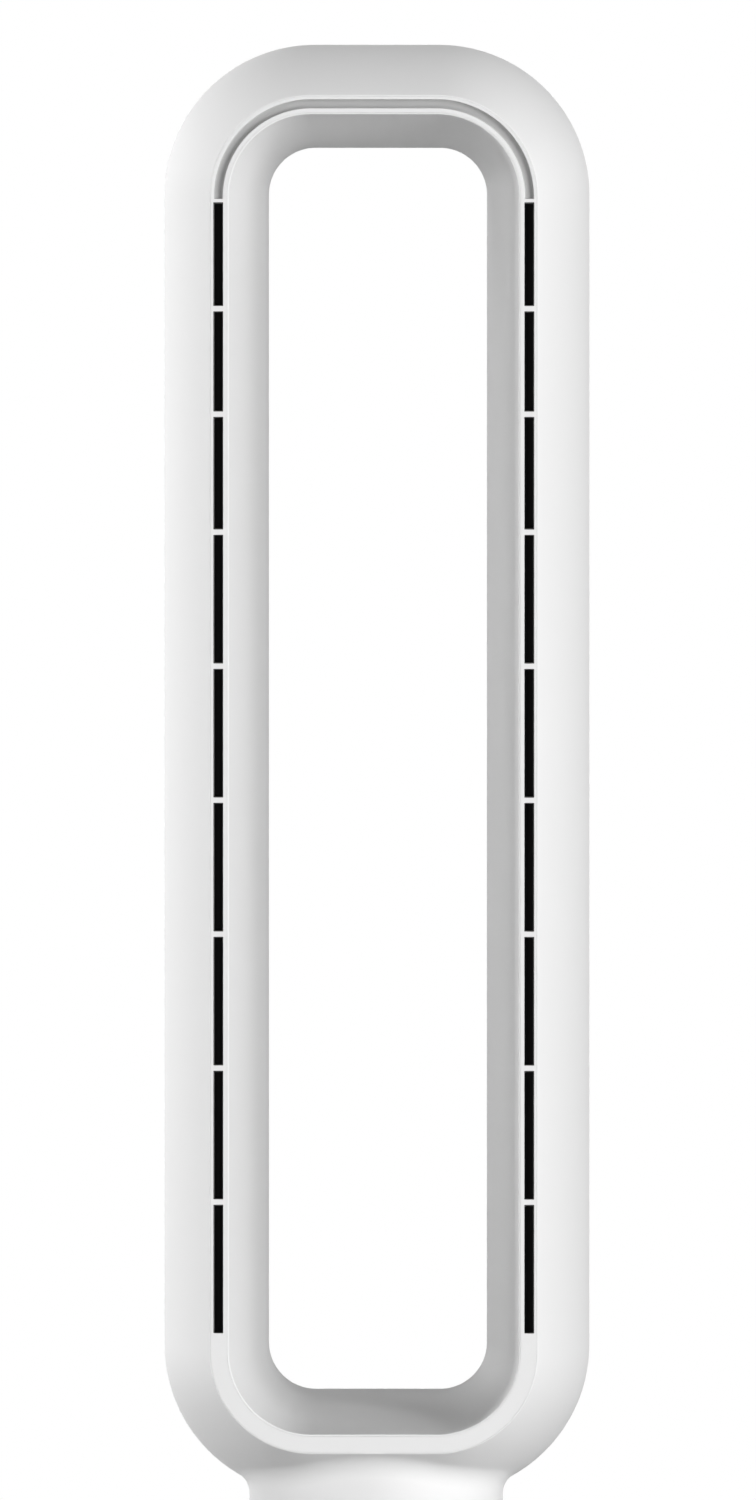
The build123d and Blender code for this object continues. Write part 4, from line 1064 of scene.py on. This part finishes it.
# %% [markdown]
# ### Marks on the buttons
# The five keys carry small printed signs: less, on, more, turn and timer. Each sign is a few strokes. A
# stroke is one short line that is pushed straight or turned round the key's middle, and then gets a little
# thickness, so that it lies in the key's face and stands out by the ink's own height. Strokes need no font,
# and as geometry they stay sharp from close by.

# %% Strokes
mark_line = 0.42 * MM
mark_relief = 0.05 * MM
mark_sunk = 0.1 * MM
ring_steps = 40


def finish_stroke(stroke):
    select_mesh()
    push_on((0, -mark_relief - mark_sunk, 0))
    pen_up()
    return stroke


def bar(middle, width, height):
    """A straight stroke round a place on the key's face."""
    stroke = pen_down("stroke", middle[0] - width / 2, middle[1], middle[2] - height / 2)
    pen_line(width, 0)
    select_mesh()
    push_on((0, 0, height))
    return finish_stroke(stroke)


def arc(middle, radius, start, turn):
    """A curved stroke, in degrees from the right and against the clock, as seen from the front."""
    inner = radius - mark_line / 2
    along = (math.cos(math.radians(start)), math.sin(math.radians(start)))
    stroke = pen_down("stroke", middle[0] + inner * along[0], middle[1], middle[2] + inner * along[1])
    pen_line(mark_line * along[0], 0, mark_line * along[1])
    select_mesh()
    turn_on(math.radians(turn), ring_steps, middle, (0, -1, 0))
    return finish_stroke(stroke)


def arrow_head(middle, side, size):
    """A small triangle whose tip points to the left (-1) or right (1)."""
    stroke = pen_down("stroke", middle[0], middle[1], middle[2] - size / 2)
    pen_line(0, 0, size)
    select_mesh()
    push_on((side * size, 0, 0))
    bpy.ops.mesh.merge(type="CENTER")
    return finish_stroke(stroke)


def print_mark(key, strokes):
    """Joins a key's strokes into one sign."""
    take(*strokes)
    if len(strokes) > 1:
        bpy.ops.object.join()
    mark = strokes[0]
    mark.name = key + "_mark"
    place(mark, "switch_black", key + "_key")


def key_place(key, right=0.0, up=0.0):
    """A place on a key's face, to the right of its middle and above it."""
    low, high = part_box(key + "_button")
    return ((low.x + high.x) / 2 + right, low.y + mark_sunk, (low.z + high.z) / 2 + up)


# %% Five signs
half_bar = 1.3 * MM
arm = half_bar - mark_line / 2
arm_middle = (half_bar + mark_line / 2) / 2
power_radius, power_start, power_turn = 1.35 * MM, 125, 290
stem, stem_up = 1.4 * MM, 1.0 * MM
swing_bar, swing_reach, swing_head = 1.8 * MM, 0.85 * MM, 1.0 * MM
clock_radius = 1.4 * MM
long_hand, long_hand_up = 0.8 * MM, 0.4 * MM
short_hand, short_hand_right = 0.4 * MM, 0.45 * MM

print_mark("speed_down", [bar(key_place("speed_down"), 2 * half_bar, mark_line)])
print_mark("speed_up", [bar(key_place("speed_up"), 2 * half_bar, mark_line),
                        bar(key_place("speed_up", up=arm_middle), mark_line, arm),
                        bar(key_place("speed_up", up=-arm_middle), mark_line, arm)])
print_mark("power", [arc(key_place("power"), power_radius, power_start, power_turn),
                     bar(key_place("power", up=stem_up), mark_line, stem)])
print_mark("swing", [bar(key_place("swing"), swing_bar, mark_line),
                     arrow_head(key_place("swing", swing_reach), 1, swing_head),
                     arrow_head(key_place("swing", -swing_reach), -1, swing_head)])
print_mark("timer", [arc(key_place("timer"), clock_radius, 90, 360),
                     bar(key_place("timer", up=long_hand_up), mark_line, long_hand),
                     bar(key_place("timer", short_hand_right), short_hand, mark_line)])

# %% [markdown]
# ## Room and light
# The photograph has a pure white background. The floor and the world show white to the camera, to reflections
# and through clear plastic, but light the fan only at a plain level, and the floor keeps the fan's shadow.
# The floor glows only a little near the fan, where the shadow lies, and more and more further out, until it
# is as white as the world and its edge can't be seen. No floor shows in the photograph, and nothing lights
# its loop from below, so this floor is pale to the camera but throws little light back up.

# %% Floor
floor_size = 60.0
glow_near = 0.55
glow_near_radius = 0.35
glow_far_radius = 1.6
floor_to_camera = (0.85, 0.85, 0.85, 1)
floor_to_light = (0.22, 0.22, 0.22, 1)
floor_roughness = 0.9
floor_drop = 0.2 * MM


def shown_white(tree, path):
    """1 for a ray from the camera, off something glossy or through clear plastic, and else 0."""
    seen = math_node(tree, "MAXIMUM", path.outputs["Is Camera Ray"], path.outputs["Is Glossy Ray"])
    return math_node(tree, "MAXIMUM", seen, path.outputs["Is Transmission Ray"])


def make_floor():
    bpy.ops.object.select_all(action="DESELECT")
    bpy.ops.mesh.primitive_plane_add(size=floor_size, location=(0, 0, -floor_drop))
    floor = bpy.context.object
    floor.name = "floor"
    material = bpy.data.materials.new("pale_floor")
    material.use_nodes = True
    tree = material.node_tree
    shader = tree.nodes["Principled BSDF"]
    shader.inputs["Roughness"].default_value = floor_roughness
    path = tree.nodes.new("ShaderNodeLightPath")
    tone = tree.nodes.new("ShaderNodeMix")
    tone.data_type = "RGBA"
    tone.inputs["A"].default_value = floor_to_light
    tone.inputs["B"].default_value = floor_to_camera
    tree.links.new(path.outputs["Is Camera Ray"], tone.inputs["Factor"])
    tree.links.new(tone.outputs["Result"], shader.inputs["Base Color"])
    glow = tree.nodes.new("ShaderNodeEmission")
    mix = tree.nodes.new("ShaderNodeMixShader")
    distance = tree.nodes.new("ShaderNodeVectorMath")
    distance.operation = "LENGTH"
    tree.links.new(own_place(tree), distance.inputs[0])
    fade = ramp(tree, distance.outputs["Value"], glow_near_radius, glow_far_radius, glow_near)
    share = math_node(tree, "MULTIPLY", shown_white(tree, path), fade)
    tree.links.new(share, mix.inputs["Fac"])
    tree.links.new(shader.outputs[0], mix.inputs[1])
    tree.links.new(glow.outputs[0], mix.inputs[2])
    tree.links.new(mix.outputs[0], tree.nodes["Material Output"].inputs["Surface"])
    floor.data.materials.append(material)
    return floor


print("floor made:", make_floor().name)

# %% World
def make_world():
    """White to the camera, to reflections and through clear plastic, and dark to everything else."""
    world = bpy.data.worlds.new("studio")
    bpy.context.scene.world = world
    world.use_nodes = True
    tree = world.node_tree
    background = tree.nodes["Background"]
    background.inputs["Color"].default_value = (1, 1, 1, 1)
    seen = shown_white(tree, tree.nodes.new("ShaderNodeLightPath"))
    tree.links.new(seen, background.inputs["Strength"])
    return world


print("world made:", make_world().name)

# %% [markdown]
# ### Lamps
# The photograph's light comes mostly from the right and the front, which leaves the loop's left-facing walls
# darker, and a second broad light stands on the left and brightens that outer edge. Each softbox below is a
# rectangle far enough away to light the whole height evenly, and only its power was tuned. The two high
# strips are narrow from front to back, so that the loop's own arch keeps their light off the bottom of the
# opening. The back lamp is far off and small, so that the tapered walls of the opening, which turn away from
# it, stay as dark as in the photograph while the back of the shell is lit.

# %% Lamps
def add_lamp(name, azimuth, elevation, distance, width, height, power):
    """A soft area lamp that aims at the loop's centre. Azimuth 0 stands in front, 90 on the right."""
    centre = Vector((0, 0, loop_centre_z))
    turn, rise = math.radians(azimuth), math.radians(elevation)
    arm = Vector((math.sin(turn) * math.cos(rise), -math.cos(turn) * math.cos(rise), math.sin(rise)))
    bpy.ops.object.select_all(action="DESELECT")
    bpy.ops.object.light_add(type="AREA", location=centre + arm * distance)
    lamp = bpy.context.object
    lamp.name = name
    lamp.rotation_euler = (-arm).to_track_quat("-Z", "Y").to_euler()
    lamp.data.shape = "RECTANGLE"
    lamp.data.size = width
    lamp.data.size_y = height
    lamp.data.energy = power
    lamp.visible_camera = False


# Each line: name, azimuth, elevation, distance, width and height in metres, power in watts.
lamps = [
    ("far_front_lamp", 0, 0, 12.0, 0.8, 0.8, 378.0),
    ("front_lamp", 12, 3, 9.0, 0.8, 0.8, 67.0),
    ("right_front_softbox", 40, 5, 6.0, 1.6, 2.4, 210.0),
    ("right_softbox", 60, 5, 6.0, 1.6, 2.4, 81.0),
    ("right_side_softbox", 75, 5, 6.0, 1.6, 2.4, 37.0),
    ("right_high_strip", 90, 60, 6.0, 0.5, 0.8, 43.0),
    ("left_front_softbox", -60, 5, 6.0, 1.6, 2.4, 19.0),
    ("left_softbox", -90, 5, 6.0, 1.6, 2.4, 216.0),
    ("left_high_strip", -90, 60, 6.0, 0.5, 0.8, 77.0),
    ("left_high_softbox", -120, 40, 6.0, 1.6, 1.6, 50.0),
    ("left_back_softbox", -150, 5, 6.0, 1.6, 2.4, 60.0),
    ("far_back_lamp", 180, 0, 12.0, 1.2, 1.2, 640.0),
]
for lamp in lamps:
    add_lamp(*lamp)
print("lamps:", len(lamps))

# %% Colour view
bpy.context.scene.view_settings.view_transform = "Standard"
